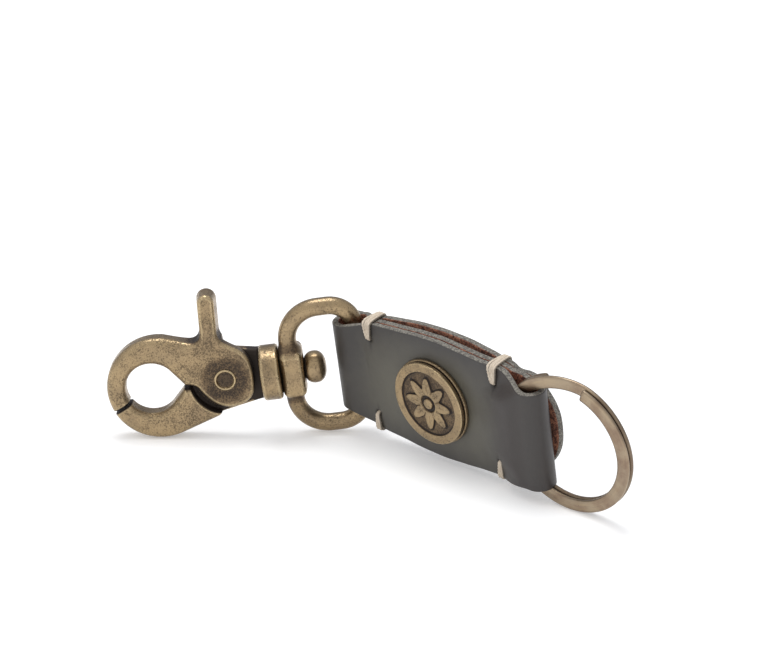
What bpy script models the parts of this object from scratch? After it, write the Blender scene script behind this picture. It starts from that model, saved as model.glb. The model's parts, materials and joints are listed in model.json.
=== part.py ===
"""Leather keychain: a snap hook on a swivelling oval eye, a folded leather strap
held by four whip stitches, a round medallion riveted to it, and a split ring.

It stands on its edges, bent like a V at the eye's bar, with its front towards -Y.
"""
import bpy
import bmesh
import math
import numpy as np
from mathutils import Matrix, Vector

MM = 0.001

# Running clearances
RUNNING_GAP = 0.3 * MM
SNUG_GAP = 0.15 * MM
BORE_GAP = 0.1 * MM
OVERRUN = 1.0 * MM

# Snap hook, measured from the middle of its collar along the swivel axis
HOOK_THICKNESS = 5.6 * MM
JAW_OFFSET = 15.4 * MM
JAW_OUTER_RADIUS = 11.7 * MM
THROAT_RADIUS = 6.6 * MM
THROAT_SHIFT = 1.6 * MM
THROAT_RISE = 0.5 * MM
CUSP_WALL = 0.8 * MM
COLLAR_STAND_OFF = 1.3 * MM
PIVOT_RISE = 0.3 * MM
BOSS_RADIUS = 6.9 * MM
BOSS_GAP = 0.9 * MM
PLATE_LIP = 0.3 * MM
NECK_INSET = 0.4 * MM
CAST_ROUNDING = 0.9 * MM
PLATE_ROUNDING = 0.5 * MM
TIP_SPLIT_ANGLE = 203.0
TIP_SPLIT_SLANT = 8.0
TIP_GAP = 0.35 * MM
DISH_RADIUS = 4.1 * MM
DISH_DEPTH = 0.4 * MM
JAW_TOP_ANGLE = 62.0
JAW_BOTTOM_ANGLE = 286.0
LEVER_ROOT_ANGLES = (84.0, 50.0)
BOSS_ANGLES = (38.0, -150.0)
RECESS_ANGLES = (270.0, 187.0)
PLATE_DISC_ANGLES = (62.0, 183.0)
HALF_LAP_ANGLES = (92.0, 270.0)
LEVER_ROOT_HEIGHT_SHARE = 0.86
RECESS_DROP_SHARE = 0.1
PLATE_LOW_SHARES = (0.42, 0.85)
PLATE_EDGE_SHARE = 0.55

# Thumb lever of the trigger
LEVER_HEIGHT = 21.4 * MM
LEVER_WIDTH = 3.9 * MM
LEVER_DEPTH = 4.6 * MM
LEVER_OFFSET = 2.0 * MM
LEVER_LEAN = 0.7 * MM
LEVER_ROUNDING = 1.3 * MM

# Collar and swivel pin
COLLAR_RADIUS = 6.4 * MM
COLLAR_LENGTH = 4.4 * MM
COLLAR_ROUNDING = 0.7 * MM
ROUND_CORNER_SHARE = 0.3
PIN_RADIUS = 1.75 * MM
PIN_NECK_LENGTH = 1.1 * MM
BALL_RADIUS = 4.2 * MM
BALL_HALF_LENGTH = 2.3 * MM

# Pivot rivet and its spring
RIVET_RADIUS = 1.9 * MM
RIVET_BORE_RADIUS = 1.35 * MM
RIVET_HEAD_RADIUS = 2.5 * MM
RIVET_HEAD_HEIGHT = 0.35 * MM
SPRING_RADIUS = 3.35 * MM
SPRING_WIRE_RADIUS = 0.25 * MM
SPRING_TURNS = 1.5
SPRING_LEG = 1.9 * MM
SPRING_POCKET_DEPTH = 1.65 * MM
SPRING_LEG_SWEEP = 34.0

# Oval eye, with the block that the swivel pin runs in
EYE_BAR_RADIUS = 2.1 * MM
EYE_WIDTH = 15.5 * MM
EYE_HEIGHT = 30.7 * MM
EYE_BAR_CORNER = 6.4 * MM
EYE_PIN_CORNER = 7.7 * MM
BLOCK_LENGTH = 4.5 * MM
BLOCK_HEIGHT = 11.2 * MM
BLOCK_DEPTH = 8.0 * MM
BLOCK_ROUNDING = 1.0 * MM

# Leather strap, one strip in three layers
LEATHER_THICKNESS = 1.5 * MM
LAYER_GAP = 0.2 * MM
STITCH_SPACING = 36.4 * MM
STITCH_HOLE_SPREAD = 19.0 * MM
STITCH_HOLE_RADIUS = 0.95 * MM
STRAP_MIDDLE_HEIGHT = 29.6 * MM
STRAP_STITCH_HEIGHT = 27.4 * MM
EYE_LOOP_MARGIN = 2.05 * MM
LOOP_END_ROOM = 4.67 * MM
EYE_LOOP_LENGTH = 7.9 * MM
EYE_LOOP_SLACK = 1.0 * MM
EYE_BAR_SET_BACK = 0.85 * MM
EYE_LOOP_ANGLES = (78.0, 278.0)
RING_LOOP_LENGTH = 13.6 * MM
STITCH_LANDING = 2.2 * MM
LOOP_FRONT_CLEARANCE = 1.25 * MM
LOOP_BACK_CLEARANCE = 0.25 * MM
BACK_BULGE = 2.0 * MM
RING_FRONT_CLEARANCE = 1.15 * MM
RING_BACK_CLEARANCE = 0.05 * MM
RING_PRESS_WIDTH = 3.3 * MM
RING_PRESS_EDGE = 0.9 * MM
TAB_LENGTH = 14.8 * MM
TAB_ROUNDING = 6.5 * MM
TAB_CURVE_SHARE = 2.5
TUCK_LENGTH = 1.3 * MM

# Whip stitches of waxed thread
THREAD_THICKNESS = 0.9 * MM
STITCH_CORNER_SHARE = 0.45
STITCH_CURVE_SHARES = (0.3, 0.4)
STITCH_TURN_SHARES = (1 / 3, 1 / 5)
STITCH_LEG_SHARES = (0.4, 0.75)
STITCH_FAN_WIDTH = 3.5 * MM
STITCH_POINT_WIDTH = 1.0 * MM

# Medallion
MEDALLION_RADIUS = 10.2 * MM
MEDALLION_FLANGE_RADIUS = 10.5 * MM
MEDALLION_FLANGE_HEIGHT = 0.85 * MM
MEDALLION_GROOVE = 0.5 * MM
MEDALLION_GROOVE_HEIGHT = 0.3 * MM
MEDALLION_HEIGHT = 2.1 * MM
MEDALLION_ROUNDING = 0.3 * MM
FIELD_RADIUS = 7.9 * MM
FIELD_DEPTH = 0.4 * MM
ROSETTE_RADIUS = 5.3 * MM
ROSETTE_LOBE = 1.4 * MM
ROSETTE_DROP = 0.05 * MM
ROSETTE_LOBES = 8
ROSETTE_EYE_RADIUS = 1.5 * MM
STEM_RADIUS = 1.2 * MM
STEM_SOCKET_DEPTH = 1.0 * MM
WASHER_RADIUS = 3.2 * MM
WASHER_THICKNESS = 0.5 * MM
CLINCH_RADIUS = 2.0 * MM
CLINCH_HEIGHT = 0.7 * MM

# Split ring
RING_RADIUS = 14.6 * MM
RING_BAND_WIDTH = 2.4 * MM
RING_BAND_DEPTH = 2.5 * MM
RING_COIL_GAP = 0.12 * MM
RING_ENTRY = 3.2 * MM
RING_RISE = 0.3 * MM
RING_SET_FORWARD = 0.3 * MM
RING_FRONT_END_ANGLE = 60.0
RING_BACK_END_ANGLE = 106.0

# Standing pose, in degrees
STRAP_AZIMUTH = 44.5
STRAP_FALL = 2.3
STRAP_LEAN = 12.6
EYE_SWING = 46.5
HOOK_ROLL = -9.0
RING_TURN = 2.5

# Angles, in degrees, past which an edge is rounded off or left crisp
BEVEL_ANGLE = 40
SHARP_ANGLE = 35

# Facet counts
ARC_STEPS = 20
HALF_ARC_STEPS = 12
SHORT_ARC_STEPS = 4
LEVER_SEGMENTS = 3
CORNER_STEPS = 10
ROUND_SIDES = 32
MEDALLION_SIDES = 48
WASHER_SIDES = 24
STEM_SIDES = 16
TUBE_SIDES = 12
THREAD_SIDES = 10
SPRING_SIDES = 6
SPRING_STEPS = 36
LOBE_STEPS = 12
RING_STEPS = 120
STRAP_STEPS = 18
TAB_STEPS = 7

# Sizes worked out from the ones above
HALF_HOOK = HOOK_THICKNESS / 2
HALF_LAP = RUNNING_GAP / 2
PLATE_BACK = HALF_HOOK - HALF_LAP / 2
HALF_COLLAR = COLLAR_LENGTH / 2
BLOCK_NEAR_FACE = HALF_COLLAR + RUNNING_GAP
PIVOT_DISTANCE = HALF_COLLAR + COLLAR_STAND_OFF + BOSS_RADIUS
JAW_REACH = PIVOT_DISTANCE + JAW_OFFSET
CUSP_DISTANCE = BOSS_RADIUS + BOSS_GAP + CUSP_WALL
PLATE_DISC_RADIUS = BOSS_RADIUS + PLATE_LIP
NECK_HALF_HEIGHT = COLLAR_RADIUS - NECK_INSET
EYE_REACH = BLOCK_NEAR_FACE + BLOCK_LENGTH / 2 + EYE_WIDTH
EYE_LOOP_HEIGHT = EYE_HEIGHT - 2 * EYE_BAR_RADIUS - 2 * EYE_LOOP_MARGIN
FRONT_LAYER = LEATHER_THICKNESS / 2
MIDDLE_LAYER = FRONT_LAYER + LEATHER_THICKNESS + LAYER_GAP
BACK_LAYER = MIDDLE_LAYER + LEATHER_THICKNESS + LAYER_GAP
STRAP_BACK = BACK_LAYER + LEATHER_THICKNESS / 2
HALF_SPACING = STITCH_SPACING / 2
EYE_LOOP_RADIUS = EYE_BAR_RADIUS + EYE_LOOP_SLACK + LEATHER_THICKNESS / 2
EYE_BAR_DEPTH = (FRONT_LAYER + BACK_LAYER) / 2 + EYE_BAR_SET_BACK
RING_REACH = HALF_SPACING + RING_ENTRY + RING_RADIUS
RING_DEPTH = (FRONT_LAYER + MIDDLE_LAYER) / 2 - RING_SET_FORWARD
LOOP_EDGE_REACH = RING_REACH - HALF_SPACING - RING_LOOP_LENGTH + LOOP_END_ROOM
RING_LOOP_HEIGHT = 2 * (math.sqrt(RING_RADIUS ** 2 - LOOP_EDGE_REACH ** 2) - RING_RISE)
RING_INTO_FRONT = LEATHER_THICKNESS + RING_BAND_DEPTH / 2 - RING_DEPTH
RING_INTO_BACK = RING_DEPTH + RING_BAND_DEPTH / 2 - LEATHER_THICKNESS - LAYER_GAP
RING_LOOP_FRONT = RING_INTO_FRONT + LOOP_FRONT_CLEARANCE
RING_LOOP_BACK = RING_INTO_BACK + LOOP_BACK_CLEARANCE
RING_PRESS_FRONT = RING_INTO_FRONT + RING_FRONT_CLEARANCE
RING_PRESS_BACK = RING_INTO_BACK + RING_BACK_CLEARANCE


def clear_scene():
    for thing in list(bpy.data.objects):
        bpy.data.objects.remove(thing, do_unlink=True)


def make_material(name, colour, roughness, metallic):
    material = bpy.data.materials.new(name)
    material.use_nodes = True
    shader = material.node_tree.nodes["Principled BSDF"]
    shader.inputs["Base Color"].default_value = (*colour, 1)
    shader.inputs["Roughness"].default_value = roughness
    shader.inputs["Metallic"].default_value = metallic
    return material


def add_frame(name, parent, matrix):
    """An empty that carries the pieces of one body."""
    frame = bpy.data.objects.new(name, None)
    bpy.context.collection.objects.link(frame)
    frame.parent = parent
    frame.matrix_local = matrix
    return frame


def add_piece(name, mesh, frame, material):
    piece = bpy.data.objects.new(name, mesh)
    bpy.context.collection.objects.link(piece)
    piece.parent = frame
    mesh.materials.append(material)
    mesh.shade_smooth()
    mesh.set_sharp_from_angle(angle=math.radians(SHARP_ANGLE))
    return piece


def add_guide(name, mesh, frame):
    """A cutter, or a shape to be joined on; it is not a piece."""
    guide = bpy.data.objects.new(name, mesh)
    bpy.context.collection.objects.link(guide)
    guide.parent = frame
    guide.hide_render = True
    guide.display_type = "WIRE"
    return guide


def combine(piece, guide, operation):
    modifier = piece.modifiers.new(guide.name, "BOOLEAN")
    modifier.operation = operation
    modifier.object = guide
    modifier.solver = "EXACT"


def soften(piece, width, segments=2):
    modifier = piece.modifiers.new("Soft edges", "BEVEL")
    modifier.width = width
    modifier.segments = segments
    modifier.limit_method = "ANGLE"
    modifier.angle_limit = math.radians(BEVEL_ANGLE)
    modifier.use_clamp_overlap = True


def mesh_from_bmesh(name, shape):
    bmesh.ops.recalc_face_normals(shape, faces=shape.faces)
    mesh = bpy.data.meshes.new(name)
    shape.to_mesh(mesh)
    shape.free()
    return mesh


def arc(centre, radius, start, end, steps=ARC_STEPS):
    """Points of an arc in the X-Z plane, angles in degrees."""
    angles = np.radians(np.linspace(start, end, steps + 1))
    return [(centre[0] + radius * math.cos(a), centre[1] + radius * math.sin(a)) for a in angles]


def prism(name, outline, front, back):
    """A plate with an X-Z outline, between two depths along Y."""
    shape = bmesh.new()
    corners = [shape.verts.new((x, front, z)) for x, z in outline]
    face = shape.faces.new(corners)
    extruded = bmesh.ops.extrude_face_region(shape, geom=[face])
    moved = [part for part in extruded["geom"] if isinstance(part, bmesh.types.BMVert)]
    bmesh.ops.translate(shape, vec=(0, back - front, 0), verts=moved)
    return mesh_from_bmesh(name, shape)


def turned(name, profile, axis="X", sides=ROUND_SIDES):
    """A turned solid from (place along the axis, radius) points; flat ends where they stop at radius 0."""
    capped = profile[0][1] == 0
    outline = [point for point in profile if point[1] > 0]
    shape = bmesh.new()
    rings = []
    for along, radius in outline:
        ring = []
        for index in range(sides):
            angle = math.tau * (index + 0.5) / sides
            ring.append(shape.verts.new((along, radius * math.cos(angle), radius * math.sin(angle))))
        rings.append(ring)
    count = len(rings)
    for index in range(count - 1 if capped else count):
        first, second = rings[index], rings[(index + 1) % count]
        for side in range(sides):
            after = (side + 1) % sides
            shape.faces.new((first[side], second[side], second[after], first[after]))
    if capped:
        shape.faces.new(rings[0])
        shape.faces.new(rings[-1])
    if axis == "Y":
        shape.transform(Matrix.Rotation(math.radians(90), 4, "Z"))
    return mesh_from_bmesh(name, shape)


def sweep(name, rings, closed, flat=False):
    """A tube through rings of points; an open one gets end faces, in strips where the section is flat."""
    shape = bmesh.new()
    loops = [[shape.verts.new(point) for point in ring] for ring in rings]
    count = len(loops)
    sides = len(loops[0])
    for index in range(count if closed else count - 1):
        first, second = loops[index], loops[(index + 1) % count]
        for side in range(sides):
            after = (side + 1) % sides
            shape.faces.new((first[side], first[after], second[after], second[side]))
    for loop in (() if closed else (loops[0], loops[-1])):
        if not flat:
            shape.faces.new(loop)
            continue
        for side in range(sides // 2 - 1):
            shape.faces.new((loop[side], loop[side + 1], loop[sides - 2 - side], loop[sides - 1 - side]))
    if flat:
        bmesh.ops.triangulate(shape, faces=shape.faces)
    return mesh_from_bmesh(name, shape)


def cylinder(name, radius, centre, front, back, sides=ROUND_SIDES):
    """A round bar along Y, centred on an X-Z point."""
    mesh = turned(name, [(front, 0), (front, radius), (back, radius), (back, 0)], "Y", sides)
    mesh.transform(Matrix.Translation((centre[0], 0, centre[1])))
    return mesh


def smooth_step(value, start, end):
    share = np.clip((value - start) / (end - start), 0, 1)
    return share * share * (3 - 2 * share)


# Outlines of the hook, in its own X-Z plane
PIVOT = (-PIVOT_DISTANCE, PIVOT_RISE)
JAW_CENTRE = (-JAW_REACH, 0)
THROAT_CENTRE = (-JAW_REACH - THROAT_SHIFT, THROAT_RISE)
CUSP_X = -PIVOT_DISTANCE - CUSP_DISTANCE


def split_points(shift):
    """Outer and inner point of the jaw's split line, moved square to it by a shift."""
    outer_angle = math.radians(TIP_SPLIT_ANGLE)
    inner_angle = math.radians(TIP_SPLIT_ANGLE + TIP_SPLIT_SLANT)
    outer = Vector((JAW_CENTRE[0] + JAW_OUTER_RADIUS * math.cos(outer_angle),
                    JAW_CENTRE[1] + JAW_OUTER_RADIUS * math.sin(outer_angle)))
    inner = Vector((THROAT_CENTRE[0] + THROAT_RADIUS * math.cos(inner_angle),
                    THROAT_CENTRE[1] + THROAT_RADIUS * math.sin(inner_angle)))
    along = (inner - outer).normalized()
    square = Vector((-along.y, along.x)) * shift
    return outer + square, inner + square


def angle_from(centre, point):
    return math.degrees(math.atan2(point[1] - centre[1], point[0] - centre[0]))


def trigger_outline():
    outer, inner = split_points(TIP_GAP / 2)
    start = angle_from(JAW_CENTRE, outer) % 360
    throat_end = angle_from(THROAT_CENTRE, inner) % 360
    cusp = (CUSP_X, PIVOT_RISE + TIP_GAP / 2)
    tangent = math.degrees(math.acos(THROAT_RADIUS / (cusp[0] - THROAT_CENTRE[0])))
    lever_left = PIVOT[0] - LEVER_OFFSET - LEVER_WIDTH / 2
    outline = arc(JAW_CENTRE, JAW_OUTER_RADIUS, start, JAW_TOP_ANGLE)
    outline += [(lever_left, JAW_OUTER_RADIUS * LEVER_ROOT_HEIGHT_SHARE)]
    outline += arc(PIVOT, BOSS_RADIUS + BOSS_GAP, *LEVER_ROOT_ANGLES, SHORT_ARC_STEPS)
    outline += arc(PIVOT, BOSS_RADIUS, *BOSS_ANGLES)
    outline += [(PIVOT[0] - BOSS_RADIUS, PIVOT_RISE - TIP_GAP), cusp]
    outline += arc(THROAT_CENTRE, THROAT_RADIUS, tangent, throat_end)
    return outline


def lower_jaw_outline():
    outer, inner = split_points(-TIP_GAP / 2)
    start = angle_from(JAW_CENTRE, outer) % 360
    throat_start = angle_from(THROAT_CENTRE, inner) % 360
    cusp = (CUSP_X, PIVOT_RISE - TIP_GAP)
    tangent = math.degrees(math.acos(THROAT_RADIUS / (cusp[0] - THROAT_CENTRE[0])))
    recess = BOSS_RADIUS + BOSS_GAP
    outline = arc(JAW_CENTRE, JAW_OUTER_RADIUS, start, JAW_BOTTOM_ANGLE)
    outline += [(PIVOT[0], -NECK_HALF_HEIGHT - BOSS_GAP - JAW_OUTER_RADIUS * RECESS_DROP_SHARE)]
    outline += arc(PIVOT, recess, *RECESS_ANGLES, HALF_ARC_STEPS)
    outline += [cusp]
    outline += arc(THROAT_CENTRE, THROAT_RADIUS, 360 - tangent, throat_start)
    return outline


def plate_outline():
    low = (-JAW_REACH + JAW_OUTER_RADIUS * PLATE_LOW_SHARES[0], -JAW_OUTER_RADIUS * PLATE_LOW_SHARES[1])
    outline = [low, (-HALF_COLLAR / 2, -NECK_HALF_HEIGHT), (-HALF_COLLAR / 2, NECK_HALF_HEIGHT - RUNNING_GAP)]
    outline += arc(PIVOT, PLATE_DISC_RADIUS, *PLATE_DISC_ANGLES, HALF_ARC_STEPS)
    outline += [(CUSP_X + RUNNING_GAP, PIVOT_RISE - BOSS_GAP)]
    outline += [(CUSP_X + RUNNING_GAP, -JAW_OUTER_RADIUS * PLATE_EDGE_SHARE)]
    return outline


def make_hook_body(frame, material):
    """Lower jaw at full thickness, the rear plate behind the trigger, and the collar."""
    mesh = prism("hook_body", lower_jaw_outline(), -HALF_HOOK, HALF_HOOK)
    jaw = add_piece("hook_body", mesh, frame, material)
    soften(jaw, CAST_ROUNDING)
    plate_mesh = prism("rear_plate", plate_outline(), HALF_LAP, PLATE_BACK)
    plate = add_guide("rear_plate", plate_mesh, frame)
    soften(plate, PLATE_ROUNDING)
    combine(jaw, plate, "UNION")
    rounding = COLLAR_ROUNDING
    inset = rounding * ROUND_CORNER_SHARE
    profile = [(-HALF_COLLAR, 0), (-HALF_COLLAR, COLLAR_RADIUS - rounding),
               (-HALF_COLLAR + inset, COLLAR_RADIUS - inset),
               (-HALF_COLLAR + rounding, COLLAR_RADIUS), (HALF_COLLAR - rounding, COLLAR_RADIUS),
               (HALF_COLLAR - inset, COLLAR_RADIUS - inset),
               (HALF_COLLAR, COLLAR_RADIUS - rounding), (HALF_COLLAR, 0)]
    collar = add_guide("collar", turned("collar", profile), frame)
    combine(jaw, collar, "UNION")
    bore = cylinder("rivet_bore", RIVET_RADIUS + BORE_GAP, PIVOT, -HALF_HOOK, HOOK_THICKNESS)
    combine(jaw, add_guide("rivet_bore", bore, frame), "DIFFERENCE")
    bore_radius = PIN_RADIUS + BORE_GAP
    pin_bore = turned("pin_bore", [(-HALF_COLLAR / 2, 0), (-HALF_COLLAR / 2, bore_radius),
                                   (HALF_COLLAR + OVERRUN, bore_radius), (HALF_COLLAR + OVERRUN, 0)])
    combine(jaw, add_guide("pin_bore", pin_bore, frame), "DIFFERENCE")
    leg_place = (PIVOT[0] + SPRING_RADIUS, PIVOT[1])
    leg_hole = cylinder("leg_hole", SPRING_WIRE_RADIUS + SNUG_GAP, leg_place, HALF_LAP - OVERRUN,
                        HALF_LAP + SPRING_LEG, TUBE_SIDES)
    combine(jaw, add_guide("leg_hole", leg_hole, frame), "DIFFERENCE")
    return jaw


def spring_slot(name, start, end, front, back):
    """Room for the spring's radial leg, from one direction about the pivot to another, in degrees."""
    inner = RIVET_RADIUS + 2 * RUNNING_GAP
    outer = SPRING_RADIUS + SPRING_LEG + 2 * RUNNING_GAP
    side = math.degrees((SPRING_WIRE_RADIUS + RUNNING_GAP) / SPRING_RADIUS)
    outline = arc(PIVOT, outer, start - side, end + side, SHORT_ARC_STEPS)
    outline += arc(PIVOT, inner, end + side, start - side, SHORT_ARC_STEPS)
    return prism(name, outline, front, back)


def make_trigger(frame, material):
    """Upper jaw, thumb lever and front boss in one casting; its frame is on the rivet."""
    to_pivot = Matrix.Translation((-PIVOT[0], 0, -PIVOT[1]))
    mesh = prism("trigger_jaw", trigger_outline(), -HALF_HOOK, HALF_HOOK)
    mesh.transform(to_pivot)
    trigger = add_piece("trigger_jaw", mesh, frame, material)
    soften(trigger, CAST_ROUNDING)

    foot = (-LEVER_OFFSET, BOSS_RADIUS - BOSS_GAP)
    top = (-LEVER_OFFSET + LEVER_LEAN, LEVER_HEIGHT - PIVOT_RISE - LEVER_WIDTH / 2)
    half = LEVER_WIDTH / 2
    outline = [(foot[0] - half - BOSS_GAP, foot[1]), (foot[0] + half + BOSS_GAP, foot[1])]
    outline += [(foot[0] + half, foot[1] + LEVER_WIDTH)]
    outline += arc(top, half, 0, 180, CORNER_STEPS)
    outline += [(foot[0] - half, foot[1] + LEVER_WIDTH)]
    lever_mesh = prism("thumb_lever", outline, -LEVER_DEPTH / 2, LEVER_DEPTH / 2)
    lever = add_guide("thumb_lever", lever_mesh, frame)
    soften(lever, LEVER_ROUNDING, LEVER_SEGMENTS)
    combine(trigger, lever, "UNION")

    relief = PLATE_DISC_RADIUS + RUNNING_GAP
    outline = arc((0, 0), relief, *HALF_LAP_ANGLES)
    outline += [(JAW_OUTER_RADIUS, -relief), (JAW_OUTER_RADIUS, JAW_OUTER_RADIUS),
                (-half / 2, JAW_OUTER_RADIUS)]
    lap = add_guide("half_lap", prism("half_lap", outline, -HALF_LAP, HOOK_THICKNESS), frame)
    combine(trigger, lap, "DIFFERENCE")
    bore = cylinder("trigger_bore", RIVET_RADIUS + BORE_GAP, (0, 0), -HOOK_THICKNESS, HOOK_THICKNESS)
    combine(trigger, add_guide("trigger_bore", bore, frame), "DIFFERENCE")
    dish_mouth, dish_floor = -HALF_HOOK - DISH_DEPTH, -HALF_HOOK + DISH_DEPTH
    dish = turned("dish", [(dish_mouth, 0), (dish_mouth, DISH_RADIUS + DISH_DEPTH),
                           (dish_floor, DISH_RADIUS - DISH_DEPTH), (dish_floor, 0)], "Y")
    combine(trigger, add_guide("dish", dish, frame), "DIFFERENCE")
    pocket_radius = SPRING_RADIUS + SPRING_WIRE_RADIUS + RUNNING_GAP
    pocket = cylinder("spring_pocket", pocket_radius, (0, 0), -HALF_LAP - SPRING_POCKET_DEPTH, HOOK_THICKNESS)
    combine(trigger, add_guide("spring_pocket", pocket, frame), "DIFFERENCE")
    leg_room = spring_slot("leg_room", 180, 180 + SPRING_LEG_SWEEP,
                           -HALF_LAP - SPRING_POCKET_DEPTH - SNUG_GAP / 2, -HALF_LAP + OVERRUN)
    leg_room.transform(to_pivot)
    combine(trigger, add_guide("leg_room", leg_room, frame), "DIFFERENCE")
    return trigger


def make_rivet(frame, material):
    """Tubular rivet through the trigger's boss and the rear plate."""
    front_face = -HALF_HOOK + DISH_DEPTH - SNUG_GAP
    back_face = PLATE_BACK + SNUG_GAP
    head = RIVET_HEAD_HEIGHT
    edge = head / 2
    profile = [(front_face - head, RIVET_BORE_RADIUS), (front_face - head, RIVET_HEAD_RADIUS - edge),
               (front_face - edge, RIVET_HEAD_RADIUS), (front_face, RIVET_HEAD_RADIUS),
               (front_face, RIVET_RADIUS), (back_face, RIVET_RADIUS), (back_face, RIVET_HEAD_RADIUS),
               (back_face + edge, RIVET_HEAD_RADIUS), (back_face + head, RIVET_HEAD_RADIUS - edge),
               (back_face + head, RIVET_BORE_RADIUS)]
    mesh = turned("pivot_rivet", profile, "Y")
    mesh.transform(Matrix.Translation((PIVOT[0], 0, PIVOT[1])))
    return add_piece("pivot_rivet", mesh, frame, material)


def tube_rings(points, radius, sides, closed=False, references=(0, 1.0, 0)):
    """Round sections square to a path, kept from twisting by reference directions."""
    points = np.asarray(points)
    if closed:
        along = np.roll(points, -1, 0) - np.roll(points, 1, 0)
    else:
        along = np.gradient(points, axis=0)
    along /= np.linalg.norm(along, axis=1)[:, None]
    references = np.broadcast_to(references, points.shape)
    side = references - along * (along * references).sum(1)[:, None]
    side /= np.linalg.norm(side, axis=1)[:, None]
    other = np.cross(along, side)
    angles = np.arange(sides) * math.tau / sides
    rings = []
    for point, first, second in zip(points, side, other):
        rings.append([point + radius * (math.cos(a) * first + math.sin(a) * second) for a in angles])
    return rings


def make_spring(frame, material):
    """Torsion spring round the rivet: one leg in a hole of the plate, one in a slot of the trigger."""
    turns = np.linspace(0, 1, SPRING_STEPS + 1)
    front = -HALF_LAP - SPRING_POCKET_DEPTH + SPRING_WIRE_RADIUS + SNUG_GAP
    back = -HALF_LAP - SPRING_WIRE_RADIUS
    angles = -SPRING_TURNS * math.tau * turns
    depth = back + (front - back) * turns
    coil = np.stack([SPRING_RADIUS * np.cos(angles), depth, SPRING_RADIUS * np.sin(angles)], 1)
    first_leg = np.array([(SPRING_RADIUS, HALF_LAP + SPRING_LEG - SNUG_GAP, 0), (SPRING_RADIUS, HALF_LAP, 0)])
    last_out = np.array((math.cos(angles[-1]), 0, math.sin(angles[-1])))
    last_leg = coil[-1:] + last_out * np.array(((SPRING_LEG / 2,), (SPRING_LEG,)))
    path = np.concatenate([first_leg, coil, last_leg])
    references = np.tile((0, 1.0, 0), (len(path), 1))
    references[:len(first_leg)] = (0, 0, -1)
    rings = tube_rings(path, SPRING_WIRE_RADIUS, SPRING_SIDES, references=references)
    mesh = sweep("jaw_spring", rings, False)
    mesh.transform(Matrix.Translation((PIVOT[0], 0, PIVOT[1])))
    return add_piece("jaw_spring", mesh, frame, material)


def make_swivel_pin(frame, material):
    """Post from the collar through the eye's block, ending in a flattened ball."""
    start = -HALF_COLLAR / 2 + SNUG_GAP
    ball = BLOCK_NEAR_FACE + BLOCK_LENGTH + PIN_NECK_LENGTH + BALL_HALF_LENGTH
    profile = [(start, 0), (start, PIN_RADIUS)]
    first = 180 - math.degrees(math.asin(PIN_RADIUS / BALL_RADIUS))
    for angle in np.radians(np.linspace(first, 0, HALF_ARC_STEPS)):
        radius = BALL_RADIUS * math.sin(angle)
        profile.append((ball + BALL_HALF_LENGTH * math.cos(angle), max(radius, 0)))
    profile[-1] = (ball + BALL_HALF_LENGTH, 0)
    return add_piece("swivel_pin", turned("swivel_pin", profile), frame, material)


def eye_path():
    """Centre line of the oval eye: tight corners at the bar, wide ones at the pin."""
    half = EYE_HEIGHT / 2
    bar = EYE_BAR_CORNER
    pin = EYE_PIN_CORNER
    top_bar = arc((-bar, half - bar), bar, 0, 90, CORNER_STEPS)
    top_pin = arc((-EYE_WIDTH + pin, half - pin), pin, 90, 180, CORNER_STEPS)
    low_pin = arc((-EYE_WIDTH + pin, -half + pin), pin, 180, 270, CORNER_STEPS)
    low_bar = arc((-bar, -half + bar), bar, 270, 360, CORNER_STEPS)
    return [(x, 0, z) for x, z in top_bar + top_pin + low_pin + low_bar]


def make_eye(frame, material):
    mesh = sweep("swivel_eye", tube_rings(eye_path(), EYE_BAR_RADIUS, TUBE_SIDES, True), True)
    eye = add_piece("swivel_eye", mesh, frame, material)
    half_length = BLOCK_LENGTH / 2
    half_height = BLOCK_HEIGHT / 2
    outline = [(-EYE_WIDTH - half_length, -half_height), (-EYE_WIDTH + half_length, -half_height),
               (-EYE_WIDTH + half_length, half_height), (-EYE_WIDTH - half_length, half_height)]
    block_mesh = prism("swivel_block", outline, -BLOCK_DEPTH / 2, BLOCK_DEPTH / 2)
    block = add_guide("swivel_block", block_mesh, frame)
    soften(block, BLOCK_ROUNDING)
    combine(eye, block, "UNION")
    reach = half_length + OVERRUN
    bore = turned("block_bore", [(-EYE_WIDTH - reach, 0), (-EYE_WIDTH - reach, PIN_RADIUS + BORE_GAP),
                                 (-EYE_WIDTH + reach, PIN_RADIUS + BORE_GAP), (-EYE_WIDTH + reach, 0)])
    combine(eye, add_guide("block_bore", bore, frame), "DIFFERENCE")
    return eye


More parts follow.
